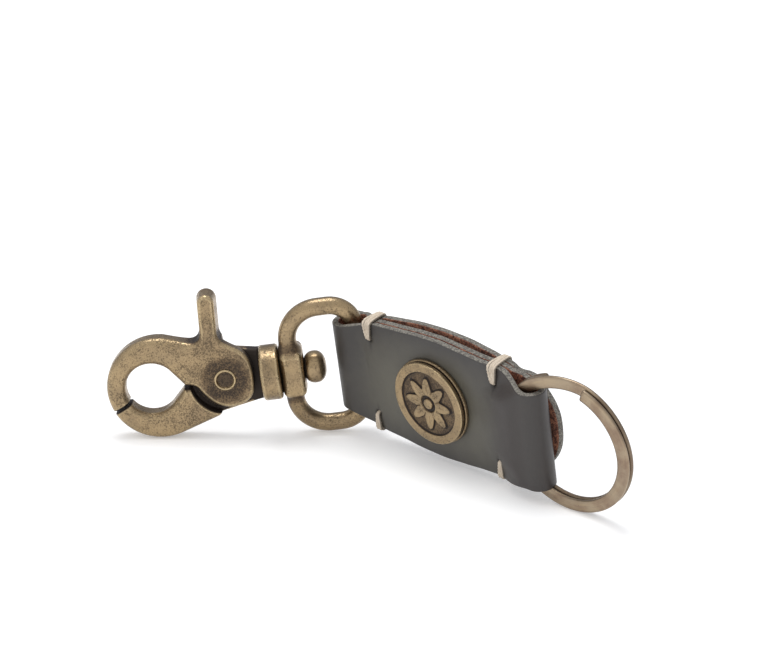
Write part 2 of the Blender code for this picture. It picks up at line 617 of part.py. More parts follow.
def strap_layers():
    """Stations along the strip: place and depth, half height, which run, and tab share.

    It runs from the back tab to the left, round the eye's bar, to the right as the
    front panel, round the split ring and back to the left as the tucked layer.
    """
    half_stitch = STRAP_STITCH_HEIGHT / 2
    swell = (STRAP_MIDDLE_HEIGHT - STRAP_STITCH_HEIGHT) / 2
    eye_height = EYE_LOOP_HEIGHT / 2
    ring_height = RING_LOOP_HEIGHT / 2
    bar = np.array((-HALF_SPACING - EYE_LOOP_LENGTH, EYE_BAR_DEPTH))
    ring_side = HALF_SPACING + RING_LOOP_LENGTH
    loop_front = FRONT_LAYER - RING_LOOP_FRONT
    loop_back = MIDDLE_LAYER + RING_LOOP_BACK
    loop_radius = (loop_back - loop_front) / 2
    loop_centre = np.array((ring_side - loop_radius, (loop_front + loop_back) / 2))

    def height(place):
        middle = half_stitch + swell * np.cos(np.clip(place / HALF_SPACING, -1, 1) * math.pi / 2) ** 2
        left = (half_stitch - eye_height) * smooth_step(-place, HALF_SPACING, -bar[0])
        loop_start = HALF_SPACING + RING_LOOP_LENGTH / 2
        right = (half_stitch - ring_height) * smooth_step(place, HALF_SPACING, loop_start)
        return middle - left - right

    def set_back(place):
        return RING_LOOP_BACK * smooth_step(place, HALF_SPACING + RING_BAND_WIDTH, loop_centre[0])

    tab_end = HALF_SPACING + TAB_LENGTH
    landing = HALF_SPACING + STITCH_LANDING
    tab = np.linspace(tab_end, HALF_SPACING, TAB_STEPS + 1)
    middle = np.linspace(-HALF_SPACING, HALF_SPACING, STRAP_STEPS + 1)
    place = np.concatenate([tab, middle[-2::-1], (-landing,)])
    bulge = BACK_BULGE * np.cos(np.clip(place / HALF_SPACING, -1, 1) * math.pi / 2) ** 2
    back = np.stack([place, BACK_LAYER + bulge + set_back(place)], 1)
    bar_angles = np.radians(np.linspace(*EYE_LOOP_ANGLES, ARC_STEPS - CORNER_STEPS // 2))
    eye_loop = bar + EYE_LOOP_RADIUS * np.stack([np.cos(bar_angles), np.sin(bar_angles)], 1)
    place = np.append(-landing, middle)
    front = np.stack([place, np.full_like(place, FRONT_LAYER)], 1)
    place = np.linspace(HALF_SPACING, loop_centre[0], TAB_STEPS + 2)[1:]
    rise = np.stack([place, FRONT_LAYER - RING_LOOP_FRONT * front_rise(place)], 1)
    end_angles = np.radians(np.linspace(-90, 90, HALF_ARC_STEPS + 1)[1:])
    ring_end = loop_centre + loop_radius * np.stack([np.cos(end_angles), np.sin(end_angles)], 1)
    place = np.linspace(loop_centre[0], -HALF_SPACING - TUCK_LENGTH, STRAP_STEPS + TAB_STEPS)[1:]
    tuck = np.stack([place, MIDDLE_LAYER + set_back(place)], 1)

    runs = (back, eye_loop, front, rise, ring_end, tuck)
    path = np.concatenate(runs)
    run_index = np.repeat(np.arange(len(runs)), [len(run) for run in runs])
    half = height(path[:, 0])
    tab_share = np.zeros(len(path))
    tab_share[:len(tab)] = np.linspace(1, 0, len(tab))
    return path, half, run_index, tab_share


# The strip's runs, in the order of strap_layers
BACK_RUN, FRONT_RUN, RISE_RUN, TUCK_RUN = 0, 2, 3, 5


def front_rise(across):
    """Share of the ring loop's rise that the front layer has at a place."""
    loop_side = HALF_SPACING + RING_LOOP_LENGTH - RING_LOOP_FRONT
    return smooth_step(across, HALF_SPACING + STITCH_LANDING / 2, loop_side)


def ring_press(across, up, run_index):
    """How far the split ring pushes each layer out of line: the front one forward, the others back."""
    reach = np.hypot(across - RING_REACH, up - RING_RISE) - RING_RADIUS - RING_BAND_WIDTH / 2
    press = smooth_step(-reach, -RING_PRESS_WIDTH, -RING_PRESS_EDGE)
    at_front = (run_index == FRONT_RUN) | (run_index == RISE_RUN)
    at_back = (run_index == BACK_RUN) | (run_index == TUCK_RUN)
    risen = front_rise(across)
    return (-np.maximum(RING_PRESS_FRONT - RING_LOOP_FRONT * risen, 0) * press * at_front
            + RING_PRESS_BACK * (1 - risen) * press * at_back)


STRAP_ACROSS_SHARES = (-1, -0.84, -0.62, -0.32, 0, 0.32, 0.62, 0.84, 1)


def make_strap(frame, material):
    """One strip of leather: two skins half a thickness either side of its path."""
    path, half, run_index, tab_share = strap_layers()
    along = np.gradient(path, axis=0)
    along /= np.linalg.norm(along, axis=1)[:, None]
    square = np.stack([along[:, 1], -along[:, 0]], 1)
    skins = []
    for side in (1, -1):
        centre = path + square * side * LEATHER_THICKNESS / 2
        rows = []
        for share in STRAP_ACROSS_SHARES:
            x = centre[:, 0] - TAB_ROUNDING * abs(share) ** TAB_CURVE_SHARE * tab_share
            z = half * share
            y = centre[:, 1] + ring_press(x, z, run_index)
            rows.append(np.stack([x, y, z], 1))
        skins.append(rows)
    sections = []
    for station in range(len(path)):
        outer = [skins[0][row][station] for row in range(len(STRAP_ACROSS_SHARES))]
        inner = [skins[1][row][station] for row in range(len(STRAP_ACROSS_SHARES))]
        sections.append(outer + inner[::-1])
    mesh = sweep("leather_strap", sections, False, flat=True)
    strap = add_piece("leather_strap", mesh, frame, material)
    for index, (across, up) in enumerate(stitch_places()):
        hole = cylinder("thread_hole", STITCH_HOLE_RADIUS, (across, up), -OVERRUN, STRAP_BACK + OVERRUN,
                        TUBE_SIDES)
        combine(strap, add_guide("thread_hole_%d" % index, hole, frame), "DIFFERENCE")
    stem = cylinder("stem_hole", STEM_RADIUS + BORE_GAP, (0, 0), -OVERRUN, MIDDLE_LAYER + LEATHER_THICKNESS,
                    STEM_SIDES)
    combine(strap, add_guide("stem_hole", stem, frame), "DIFFERENCE")
    return strap


def stitch_places():
    half_spread = STITCH_HOLE_SPREAD / 2
    return [(-HALF_SPACING, half_spread), (HALF_SPACING, half_spread),
            (-HALF_SPACING, -half_spread), (HALF_SPACING, -half_spread)]


def make_stitch(name, place, frame, material):
    """Thread from its hole over the strap's edge and back, wide over the edge."""
    across, up = place
    sign = 1 if up > 0 else -1
    gap = SNUG_GAP + THREAD_THICKNESS / 2
    front, back = -gap, STRAP_BACK + gap
    middle = (front + back) / 2
    half_depth = (back - front) / 2
    edge = STRAP_STITCH_HEIGHT / 2 + gap
    hole = abs(up)
    corner = half_depth * STITCH_CORNER_SHARE
    path = [(front, hole + gap)]
    path += [(front, hole + (edge - corner - hole) * share) for share in STITCH_LEG_SHARES]
    over = np.radians(np.linspace(180, 0, HALF_ARC_STEPS + 1))
    deep_curve, up_curve = STITCH_CURVE_SHARES
    path += [(middle + half_depth * math.copysign(abs(math.cos(a)) ** deep_curve, math.cos(a)),
              edge - corner + corner * abs(math.sin(a)) ** up_curve) for a in over]
    path += [(back, hole + (edge - corner - hole) * share) for share in STITCH_LEG_SHARES[::-1]]
    turn_in, turn_up = gap * STITCH_TURN_SHARES[0], gap * STITCH_TURN_SHARES[1]
    path += [(back, hole + gap), (back - turn_in, hole + turn_up), (back - gap, hole), (middle, hole)]
    path += [(front + gap, hole), (front + turn_in, hole + turn_up)]
    path = np.array(path)
    along = np.roll(path, -1, 0) - np.roll(path, 1, 0)
    along /= np.linalg.norm(along, axis=1)[:, None]
    square = np.stack([-along[:, 1], along[:, 0]], 1)
    spread = np.clip((path[:, 1] - hole) / (edge - hole), 0, 1)
    width = STITCH_POINT_WIDTH + (STITCH_FAN_WIDTH - STITCH_POINT_WIDTH) * np.sqrt(spread)
    inside = path[:, 1] < hole + gap / 2
    angles = np.arange(THREAD_SIDES) * math.tau / THREAD_SIDES
    rings = []
    for point, out, wide, buried in zip(path, square, width, inside):
        thick = THREAD_THICKNESS / 2
        half_wide = thick if buried else wide / 2
        ring = []
        for angle in angles:
            offset = out * thick * math.sin(angle)
            ring.append((across + half_wide * math.cos(angle), point[0] + offset[0],
                         sign * (point[1] + offset[1])))
        rings.append(ring)
    return add_piece(name, sweep(name, rings, True), frame, material)


def make_medallion(frame, material):
    """Flanged disc with a grooved rim, a sunk field and a raised rosette."""
    seat = -SNUG_GAP
    lip = seat - MEDALLION_FLANGE_HEIGHT
    groove = lip - MEDALLION_GROOVE_HEIGHT
    face = seat - MEDALLION_HEIGHT
    rounding = MEDALLION_ROUNDING
    profile = [(seat, 0), (seat, MEDALLION_FLANGE_RADIUS), (lip + rounding, MEDALLION_FLANGE_RADIUS),
               (lip, MEDALLION_FLANGE_RADIUS - rounding), (lip, MEDALLION_RADIUS - MEDALLION_GROOVE),
               (groove, MEDALLION_RADIUS - MEDALLION_GROOVE), (groove, MEDALLION_RADIUS),
               (face + rounding, MEDALLION_RADIUS), (face, MEDALLION_RADIUS - rounding), (face, 0)]
    medallion = add_piece("medallion", turned("medallion", profile, "Y", MEDALLION_SIDES), frame, material)
    field = cylinder("field", FIELD_RADIUS, (0, 0), face - OVERRUN, face + FIELD_DEPTH, MEDALLION_SIDES)
    combine(medallion, add_guide("field", field, frame), "DIFFERENCE")
    lobes = np.linspace(0, math.tau, LOBE_STEPS * ROSETTE_LOBES, endpoint=False)
    radius = ROSETTE_RADIUS + ROSETTE_LOBE * np.cos(ROSETTE_LOBES * lobes)
    outline = list(zip(radius * np.cos(lobes), radius * np.sin(lobes)))
    rosette = prism("rosette", outline, face + ROSETTE_DROP, face + FIELD_DEPTH + SNUG_GAP)
    combine(medallion, add_guide("rosette", rosette, frame), "UNION")
    centre = cylinder("rosette_eye", ROSETTE_EYE_RADIUS, (0, 0), face - OVERRUN, face + FIELD_DEPTH)
    combine(medallion, add_guide("rosette_eye", centre, frame), "DIFFERENCE")
    socket = cylinder("stem_socket", STEM_RADIUS + BORE_GAP, (0, 0), seat - STEM_SOCKET_DEPTH, seat + OVERRUN,
                      STEM_SIDES)
    combine(medallion, add_guide("stem_socket", socket, frame), "DIFFERENCE")
    return medallion


def make_medallion_fixing(frame, rivet_material, washer_material):
    """Stem through the front and tucked layers, clinched on a washer behind them."""
    behind = MIDDLE_LAYER + LEATHER_THICKNESS / 2
    washer_front = behind + SNUG_GAP
    washer_back = washer_front + WASHER_THICKNESS
    bore = STEM_RADIUS + BORE_GAP
    profile = [(washer_front, bore), (washer_front, WASHER_RADIUS),
               (washer_back, WASHER_RADIUS), (washer_back, bore)]
    washer = turned("medallion_washer", profile, "Y", WASHER_SIDES)
    add_piece("medallion_washer", washer, frame, washer_material)
    tip = -STEM_SOCKET_DEPTH
    clinch = washer_back + SNUG_GAP
    crown = CLINCH_HEIGHT / 2
    profile = [(tip, 0), (tip, STEM_RADIUS), (clinch, STEM_RADIUS), (clinch, CLINCH_RADIUS),
               (clinch + crown, CLINCH_RADIUS - crown / 2), (clinch + CLINCH_HEIGHT, CLINCH_RADIUS / 2),
               (clinch + CLINCH_HEIGHT, 0)]
    add_piece("medallion_rivet", turned("medallion_rivet", profile, "Y", STEM_SIDES), frame, rivet_material)


RING_SECTION_SHARES = ((-1, -0.4), (-1, 0.4), (-0.62, 1), (0.62, 1),
                       (1, 0.4), (1, -0.4), (0.62, -1), (-0.62, -1))


def make_split_ring(frame, material):
    """Two coils of wire; between the two ends it steps from the front coil to the back one."""
    gap_angle = RING_BACK_END_ANGLE - RING_FRONT_END_ANGLE
    total = 2 * (360 - gap_angle) + gap_angle
    travelled = np.linspace(0, total, RING_STEPS + 1)
    angles = np.radians(RING_FRONT_END_ANGLE - travelled)
    coil_depth = (RING_BAND_DEPTH - RING_COIL_GAP) / 2
    middles = (RING_COIL_GAP + coil_depth) / 2 * (2 * smooth_step(travelled, 360 - gap_angle, 360) - 1)
    rings = []
    for angle, middle in zip(angles, middles):
        out = np.array((math.cos(angle), 0, math.sin(angle)))
        rings.append([out * (RING_RADIUS + across * RING_BAND_WIDTH / 2)
                      + np.array((0, middle + deep * coil_depth / 2, 0))
                      for across, deep in RING_SECTION_SHARES])
    return add_piece("split_ring", sweep("split_ring", rings, False), frame, material)


def turn(axis, degrees):
    return Matrix.Rotation(math.radians(degrees), 4, axis)


def stand_on_floor(root):
    """Move the root so that the lowest point is at Z = 0 and the box is centred on the origin."""
    bpy.context.view_layer.update()
    graph = bpy.context.evaluated_depsgraph_get()
    points = []
    for piece in bpy.data.objects:
        if piece.type != "MESH" or piece.hide_render:
            continue
        solid = piece.evaluated_get(graph)
        local = np.empty(len(solid.data.vertices) * 3)
        solid.data.vertices.foreach_get("co", local)
        matrix = np.array(solid.matrix_world)
        points.append(local.reshape(-1, 3) @ matrix[:3, :3].T + matrix[:3, 3])
    points = np.concatenate(points)
    low, high = points.min(0), points.max(0)
    middle = (low + high) / 2
    root.location = (-middle[0], -middle[1], -low[2])
    bpy.context.view_layer.update()


def main():
    clear_scene()
    cast_brass = make_material("cast_brass", (0.26, 0.20, 0.12), 0.42, 1)
    ring_brass = make_material("ring_brass", (0.30, 0.22, 0.15), 0.35, 1)
    leather = make_material("leather", (0.11, 0.11, 0.10), 0.45, 0)
    thread = make_material("waxed_thread", (0.62, 0.53, 0.42), 0.8, 0)
    steel = make_material("spring_steel", (0.45, 0.45, 0.45), 0.35, 1)

    root = add_frame("keychain", None, Matrix.Identity(4))
    strap_turn = turn("Z", -STRAP_AZIMUTH) @ turn("Y", STRAP_FALL) @ turn("X", STRAP_LEAN)
    strap_frame = add_frame("strap_frame", root, strap_turn)
    bar = Matrix.Translation((-HALF_SPACING - EYE_LOOP_LENGTH, EYE_BAR_DEPTH, 0))
    eye_frame = add_frame("eye_frame", strap_frame, bar @ turn("Z", EYE_SWING))
    collar = Matrix.Translation((-EYE_REACH, 0, 0))
    hook_frame = add_frame("hook_frame", eye_frame, collar @ turn("X", HOOK_ROLL))
    jaw_frame = add_frame("jaw_frame", hook_frame, Matrix.Translation((PIVOT[0], 0, PIVOT[1])))
    ring_place = Matrix.Translation((RING_REACH, RING_DEPTH, RING_RISE))
    ring_frame = add_frame("ring_frame", strap_frame, ring_place @ turn("Z", RING_TURN))

    make_strap(strap_frame, leather)
    names = ("stitch_top_left", "stitch_top_right", "stitch_bottom_left", "stitch_bottom_right")
    for name, place in zip(names, stitch_places()):
        make_stitch(name, place, strap_frame, thread)
    make_medallion(strap_frame, cast_brass)
    make_medallion_fixing(strap_frame, cast_brass, steel)
    make_eye(eye_frame, cast_brass)
    make_hook_body(hook_frame, cast_brass)
    make_rivet(hook_frame, ring_brass)
    make_spring(hook_frame, steel)
    make_swivel_pin(hook_frame, cast_brass)
    make_trigger(jaw_frame, cast_brass)
    make_split_ring(ring_frame, ring_brass)
    stand_on_floor(root)


main()
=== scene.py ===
"""Leather keychain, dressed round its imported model: cast brass snap hook and oval eye,
folded leather strap with whip stitches, riveted medallion and split ring.

Lengths are in metres. Each piece is worked out in the frame of the body that carries it
and then put in its place, so its object stays at the origin.
"""
import json
import math
import bmesh
import bpy
import numpy as np
from mathutils import Matrix


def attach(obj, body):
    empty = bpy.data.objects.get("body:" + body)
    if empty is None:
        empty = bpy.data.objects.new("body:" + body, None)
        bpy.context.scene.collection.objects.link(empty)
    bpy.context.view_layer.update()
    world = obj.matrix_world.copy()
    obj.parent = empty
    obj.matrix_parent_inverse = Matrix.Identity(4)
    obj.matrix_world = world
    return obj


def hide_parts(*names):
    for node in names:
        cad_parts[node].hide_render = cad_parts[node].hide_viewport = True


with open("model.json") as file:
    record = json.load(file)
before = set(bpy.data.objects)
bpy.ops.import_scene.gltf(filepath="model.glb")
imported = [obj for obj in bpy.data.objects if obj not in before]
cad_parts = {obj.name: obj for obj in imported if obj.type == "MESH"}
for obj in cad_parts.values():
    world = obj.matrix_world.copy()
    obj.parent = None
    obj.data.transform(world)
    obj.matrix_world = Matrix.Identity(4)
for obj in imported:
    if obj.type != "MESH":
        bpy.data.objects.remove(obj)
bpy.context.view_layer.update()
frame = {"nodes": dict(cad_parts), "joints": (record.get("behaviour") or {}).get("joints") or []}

bl_info = {
    "name": "Leather Keychain",
    "version": (1, 0, 0),
    "blender": (4, 5, 0),
    "location": "3D View > Sidebar > Keychain",
    "description": "Builds a leather key strap with a snap hook, an oval eye and a split ring",
    "category": "Object",
}

MM = 0.001

# Standing pose, in degrees
STRAP_AZIMUTH = 44.5
STRAP_FALL = 2.3
STRAP_LEAN = 12.6
EYE_SWING = 46.5
HOOK_ROLL = -9.0
RING_TURN = 2.5

# Snap hook, from the middle of its collar along the swivel axis
HOOK_THICKNESS = 5.6 * MM
HALF_HOOK = HOOK_THICKNESS / 2
LAP_GAP = 0.15 * MM
COLLAR_RADIUS = 6.4 * MM
COLLAR_LENGTH = 4.4 * MM
RECESS_RADIUS = 8.1 * MM
PIVOT = (-10.4 * MM, 0.3 * MM)
JAW_CENTRE = (-25.5 * MM, 0.05 * MM)
JAW_RADIUS = 12.0 * MM
THROAT_CENTRE = (-27.3 * MM, 0.12 * MM)
THROAT_RADIUS = 5.95 * MM
CUSP = (-19.5 * MM, -0.3 * MM)
TIP_GAP = 0.55 * MM
LEVER_WIDTH = 4.6 * MM
LEVER_DRAFT_SHARE = 0.08
RIVET_RADIUS = 1.9 * MM
BORE_GAP = 0.1 * MM
PIN_RADIUS = 1.75 * MM
# Back of the trigger: down from the jaw past the lever's root, round the boss and up to the throat's point
TRIGGER_BACK = np.array((
    (-20.0, 10.8), (-17.0, 9.8), (-12.4, 9.4), (-9.4, 9.0), (-7.6, 7.9), (-6.0, 6.8), (-4.7, 5.2),
    (-3.9, 3.0), (-3.7, 0.4), (-3.9, -2.5), (-4.8, -4.5), (-6.4, -5.8), (-8.7, -6.4), (-11.2, -6.3),
    (-13.3, -5.3), (-14.9, -3.6), (-16.1, -2.1), (-17.1, -0.5), (-19.5, -0.1))) * MM
SPLIT_OUTER = np.array((-36.57 * MM, -4.57 * MM))
SPLIT_INNER = np.array((-33.05 * MM, -2.90 * MM))
LEVER_FOOT = np.array((-12.95 * MM, 6.0 * MM))
LEVER_TOP = np.array((-12.2 * MM, 18.9 * MM))
LEVER_FILLET = 2.8 * MM
POINT_LENGTH = 3 * MM
SPLIT_ROUNDING = 0.35 * MM
RIM_ROUNDING = 0.85 * MM
RIM_CHANGE = (15 * MM, 21 * MM)
SHOULDER_REACH = 11 * MM
SHOULDER_PLACE = -9.9 * MM
LAP_RADIUS = 7.5 * MM
LAP_ROUNDING = 0.15 * MM
DISH_BALL_RADIUS = 17.95 * MM
DISH_BALL_STAND_OFF = 17.5 * MM
DISH_ROUNDING = 0.5 * MM
SPRING_POCKET_RADIUS = 3.9 * MM
SPRING_POCKET_DEPTH = 1.65 * MM
SPRING_POCKET_ROUNDING = 0.1 * MM
SPRING_LEG_REACH = 5.85 * MM
SPRING_LEG_DEGREES = 197
SPRING_LEG_SWEEP = 17
SPRING_LEG_FLARE = 0.06 * MM
TRIGGER_LOW = -8.0 * MM
TRIGGER_HIGH = 22.2 * MM
TRIGGER_RIGHT = -1.0 * MM
# Lower jaw, and the thinner plate behind the boss
JAW_HEEL = ((-12.9 * MM, -8.4 * MM), (-11.6 * MM, -7.3 * MM))
JAW_ROUNDING = 1.5 * MM
RECESS_ROUNDING = 0.45 * MM
REAR_FOOT = np.array(((-20.9, -9.95), (-4.0, -6.5), (-1.1, -6.0), (-1.1, 5.5))) * MM
REAR_RADIUS = 7.1 * MM
REAR_HEEL = np.array(((-18.7, -0.6), (-18.7, -6.4))) * MM
REAR_ROUNDING = 0.5 * MM
COLLAR_ROUNDING = 0.75 * MM
COLLAR_FILLET = 0.7 * MM
LEG_HOLE_OFFSET = 3.35 * MM
LEG_HOLE_RADIUS = 0.4 * MM
LEG_HOLE_END = 2.05 * MM

# Room round a casting that is worked out with it, and the reaches at which its hollows are felt out
FIELD_MARGIN = 2.3 * MM
HOLLOW_REACHES = (0.6 * MM, 1.2 * MM, 2.0 * MM)
RELIEF_SHARE = 1.2

# Patina and painted shade: where each darkening fades in or out along an axis of the hook or the eye
# Patina and painted shade in the dish round the rivet
DISH_PATINA_AND_SHADE_RADIUS = 6.4 * MM
DISH_PATINA_AND_SHADE_FADE = 2.4 * MM
BOSS_STAIN = (-27 * MM, -13 * MM)
BOSS_STAIN_END = (3 * MM, 5 * MM)
LEVER_STAIN_END = (-18 * MM, -8 * MM)
# Painted shade on the rear plate's face in the gap between the boss and the collar
WALL_SHADE = (-5.5 * MM, -4.0 * MM)
WALL_SHADE_END = (2.0 * MM, 2.6 * MM)
WALL_SHADE_FRONT = -1.5 * MM
SPLIT_DARKENING_WIDTH = 0.55 * MM
# Painted shade on the eye's lower arch, and a darker end of the block
ARCH_SHADE = (3 * MM, 10 * MM)
BLOCK_DARKENING = (0.9 * MM, 2.0 * MM)

# Oval eye and swivel pin
EYE_BAR_RADIUS = 2.05 * MM
EYE_WIDTH = 15.5 * MM
EYE_HEIGHT = 30.2 * MM
BLOCK_LENGTH = 4.5 * MM
BLOCK_HEIGHT = 11.2 * MM
BLOCK_DEPTH = 8.0 * MM
BLOCK_NEAR_FACE = COLLAR_LENGTH / 2 + 0.3 * MM
EYE_TIGHT_CORNER = 5.6 * MM
EYE_WIDE_CORNER = 7.7 * MM
BLOCK_OUTSET = 0.35 * MM
BLOCK_ROUNDING = 1.3 * MM
BLOCK_FILLET = 2.1 * MM
BALL_HALF_LENGTH = 2.58 * MM
BALL_RADIUS = 3.72 * MM
BALL_STAND_OFF = 3.17 * MM
PIN_END_GAP = 0.15 * MM

# Pivot rivet
HEAD_STAND_OFF = 0.25 * MM
HEAD_HEIGHT = 0.3 * MM
HEAD_BORE = 1.75 * MM
HEAD_LIP = 2.6 * MM
HEAD_ROUNDING = 0.22 * MM
HEAD_FLOOR_DROP = 0.25 * MM
BACK_STAND_OFF = 0.15 * MM
BACK_FLOOR_DROP = 0.4 * MM

# Strap
LAYER_GAP = 0.2 * MM
HALF_SPACING = 18.2 * MM
HOLE_HEIGHT = 9.5 * MM
STITCH_HALF_HEIGHT = 13.7 * MM
BAR_PLACE = (-26.1 * MM, 3.3 * MM)
LOOP_LIFT = 2.7 * MM
BACK_SET = 1.1 * MM
RING_LOOP_LENGTH = 13.6 * MM
TAB_LENGTH = 13.2 * MM
STITCH_LANDING = 2.2 * MM
BACK_BULGE = 1.25 * MM
TUCK_LENGTH = 1.3 * MM
EYE_LOOP_CLEARANCES = (1.15 * MM, 0.75 * MM)
EDGE_LIFT = (6.0 * MM, 12.0 * MM)
LOOP_RISE = (1.1 * MM, 10.9 * MM)
MIDDLE_SWELL = 1.1 * MM
EYE_TAPER_START = 16.5 * MM
EYE_TAPER_LENGTH = 10.0 * MM
RING_TAPER = (0.5 * MM, 10 * MM)
LOOP_DRAWN = (3 * MM, 13 * MM)
TAB_END_ROUND = 6.5 * MM
LEAST_HALF_THICKNESS = 0.02 * MM
PRESS_CENTRE = (36.0 * MM, 0.3 * MM)
PRESS_FADE = (-3.3 * MM, -0.9 * MM)
PRESS_DEPTH = 0.9 * MM
HOLE_WIDTH = 0.62 * MM
HOLE_DEPTH = 0.75 * MM
WAVE_HEIGHT = 0.05 * MM
OUTER_BACK = 3.6 * MM

# Leather's painted light: a painted sheen across the panel's middle, and painted shade over the ring loop
# with a painted highlight band near its fold
SHEEN_CENTRE = -2 * MM
SHEEN_FADE = (-26 * MM, -10 * MM)
LOOP_SHADE_SPAN = (15 * MM, 22 * MM)
LOOP_HIGHLIGHT_PLACE = 29.3 * MM
LOOP_HIGHLIGHT_WIDTH = 2.0 * MM

# Medallion
MEDALLION_RADIUS = 10.2 * MM
FLANGE_RADIUS = 10.5 * MM
MEDALLION_HEIGHT = 2.1 * MM
FIELD_RADIUS = 7.9 * MM
FIELD_DEPTH = 0.45 * MM
PETALS = 8
PETAL_REACH = 5.3 * MM
PETAL_SWING = 1.4 * MM
BORDER_WIDTH = 0.45 * MM
RIM_GROOVE_RADIUS = 9.75 * MM
AXIS_HOLE = 0.04 * MM
MEDALLION_SHIFT = (0.2 * MM, 0, -0.2 * MM)
FIELD_STEP = 0.25 * MM
FIELD_FADE = 0.35 * MM
PETAL_FADE = (-0.14 * MM, 0.2 * MM)
GROOVE_WIDTH = 0.13 * MM
GROOVE_DEPTH = 0.2 * MM
GROOVE_START = (2.3 * MM, 3.0 * MM)
VEIN_WIDTH = 0.12 * MM
VEIN_DEPTH = 0.14 * MM
VEIN_START = (2.6 * MM, 3.4 * MM)
VEIN_END = (-5.4 * MM, -4.6 * MM)
CENTRE_RADIUS = 2.2 * MM
CENTRE_FADE = (-0.1 * MM, 0.25 * MM)
BEAD_RADIUS = 1.35 * MM
BEAD_FADE = (-0.1 * MM, 0.2 * MM)
BEAD_HEIGHT = 0.18 * MM
BEAD_SPREAD = 1.5 * MM
PETAL_SHADE = 0.28 * MM
BEAD_SHADE = 0.3 * MM
BEAD_SHADE_RADIUS = 1.6 * MM
BORDER_SHADE = 0.2 * MM
BORDER_SHADE_SHIFT = 0.1 * MM
RIM_GROOVE_SPAN = (9 * MM, 10.1 * MM)
RIM_GROOVE_START = 0.5 * MM
SHARPEST_BEND = 0.03 * MM
RIM_WEAR_DEPTH = 0.1 * MM
RIM_WEAR_WIDTH = 0.15 * MM
RIM_WEAR_RADIUS = 9.8 * MM

# Split ring
RING_RADIUS = 14.35 * MM
RING_BAND_WIDTH = 2.8 * MM
RING_BAND_DEPTH = 2.5 * MM
RING_COIL_GAP = 0.12 * MM
RING_ENDS = (69.5, 106.0)
WIRE_END_ROUNDING = 0.35 * MM
WIRE_END_INSET = 0.22 * MM
END_STAIN_WIDTH = 0.5 * MM

# Depth of the finest relief of each finish
PIT_DEPTH = 0.035 * MM
WIRE_LINE_DEPTH = 0.012 * MM
STEEL_LINE_DEPTH = 0.01 * MM
LEATHER_GRAIN_DEPTH = 0.06 * MM
FIBRE_DEPTH = 0.08 * MM

# Stage, in metres and degrees
FLOOR_REACH = 3.0
GLOW_NEAR = 0.12
GLOW_FAR = 0.9
LAMP_SIZE = 0.65
LAMP_PLACE = (-0.1, 0.16, 1.1)
LAMP_TURN = (-8.0, -5.0, 0)
CAMERA_PLACE = (-0.2 * MM, -370.1 * MM, 150.3 * MM)
CAMERA_HEADING = -1.0
CAMERA_DOWN = 17.57
CAMERA_ROLL = 0.64
CAMERA_LENS = 85.45


def srgb(red, green, blue):
    """A colour given in 0 to 255 steps, as the linear values that a shader works with."""
    shares = np.array((red, green, blue)) / 255
    linear = np.where(shares <= 0.04045, shares / 12.92, ((shares + 0.055) / 1.055) ** 2.4)
    return tuple(float(share) for share in linear)


# Places of the bodies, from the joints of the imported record

def turn(axis, degrees):
    return Matrix.Rotation(math.radians(degrees), 4, axis)


def joint_place(name):
    found = [joint for joint in frame["joints"] if joint["name"] == name]
    return Matrix.Translation(found[0]["pos_m"])


STRAP_TURN = turn("Z", -STRAP_AZIMUTH) @ turn("Y", STRAP_FALL) @ turn("X", STRAP_LEAN)
EYE_TURN = STRAP_TURN @ turn("Z", EYE_SWING)
HOOK_TURN = EYE_TURN @ turn("X", HOOK_ROLL)
EYE_PLACE = joint_place("eye_swing") @ EYE_TURN
STRAP_PLACE = joint_place("eye_swing") @ STRAP_TURN @ Matrix.Translation((-BAR_PLACE[0], -BAR_PLACE[1], 0))
HOOK_PLACE = joint_place("hook_swivel") @ HOOK_TURN
RING_PLACE = joint_place("ring_turn") @ STRAP_TURN @ turn("Z", RING_TURN)


# Surfaces worked out on a grid

def smooth_step(value, start, end):
    """Rises from 0 to 1 between two values, level at both."""
    share = np.clip((value - start) / (end - start), 0, 1)
    return share * share * (3 - 2 * share)


def bell(value, width):
    """1 at zero, falling away evenly on both sides."""
    return np.exp(-(value / width) ** 2)


def grid_quads(rows, columns):
    """Faces between neighbouring points of a grid that closes round its columns, and the grid place of
    each corner."""
    row, column = np.meshgrid(np.arange(rows - 1), np.arange(columns), indexing="ij")
    corners = [(row, column), (row, column + 1), (row + 1, column + 1), (row + 1, column)]
    faces = [r * columns + c % columns for r, c in corners]
    places = [np.stack([r / rows, c / columns], -1) for r, c in corners]
    return np.stack(faces, -1).reshape(-1, 4), np.stack(places, 2).reshape(-1, 2)


def end_caps(rows, columns):
    """The first and the last row of a grid, as one face each."""
    return np.stack([np.arange(columns), np.arange(columns) + (rows - 1) * columns])


def travelled_along(path):
    """Length of the way to each point of a path."""
    return np.concatenate([(0,), np.cumsum(np.linalg.norm(np.diff(path, axis=0), axis=1))])


def resampled(places, known, values):
    """Columns of values at new places along a path, from the places where they are known."""
    return np.stack([np.interp(places, known, values[:, k]) for k in range(values.shape[1])], 1)


def drawn_together(even, weight, count):
    """Places along an even row, closer to each other where the weight is high."""
    total = np.concatenate([(0,), np.cumsum((weight[1:] + weight[:-1]) / 2)])
    return np.interp(np.linspace(0, total[-1], count), total, even)


def squared(value, power):
    """A power that keeps the sign: below 1 it fills out a curve's corners."""
    return np.sign(value) * np.abs(value) ** power


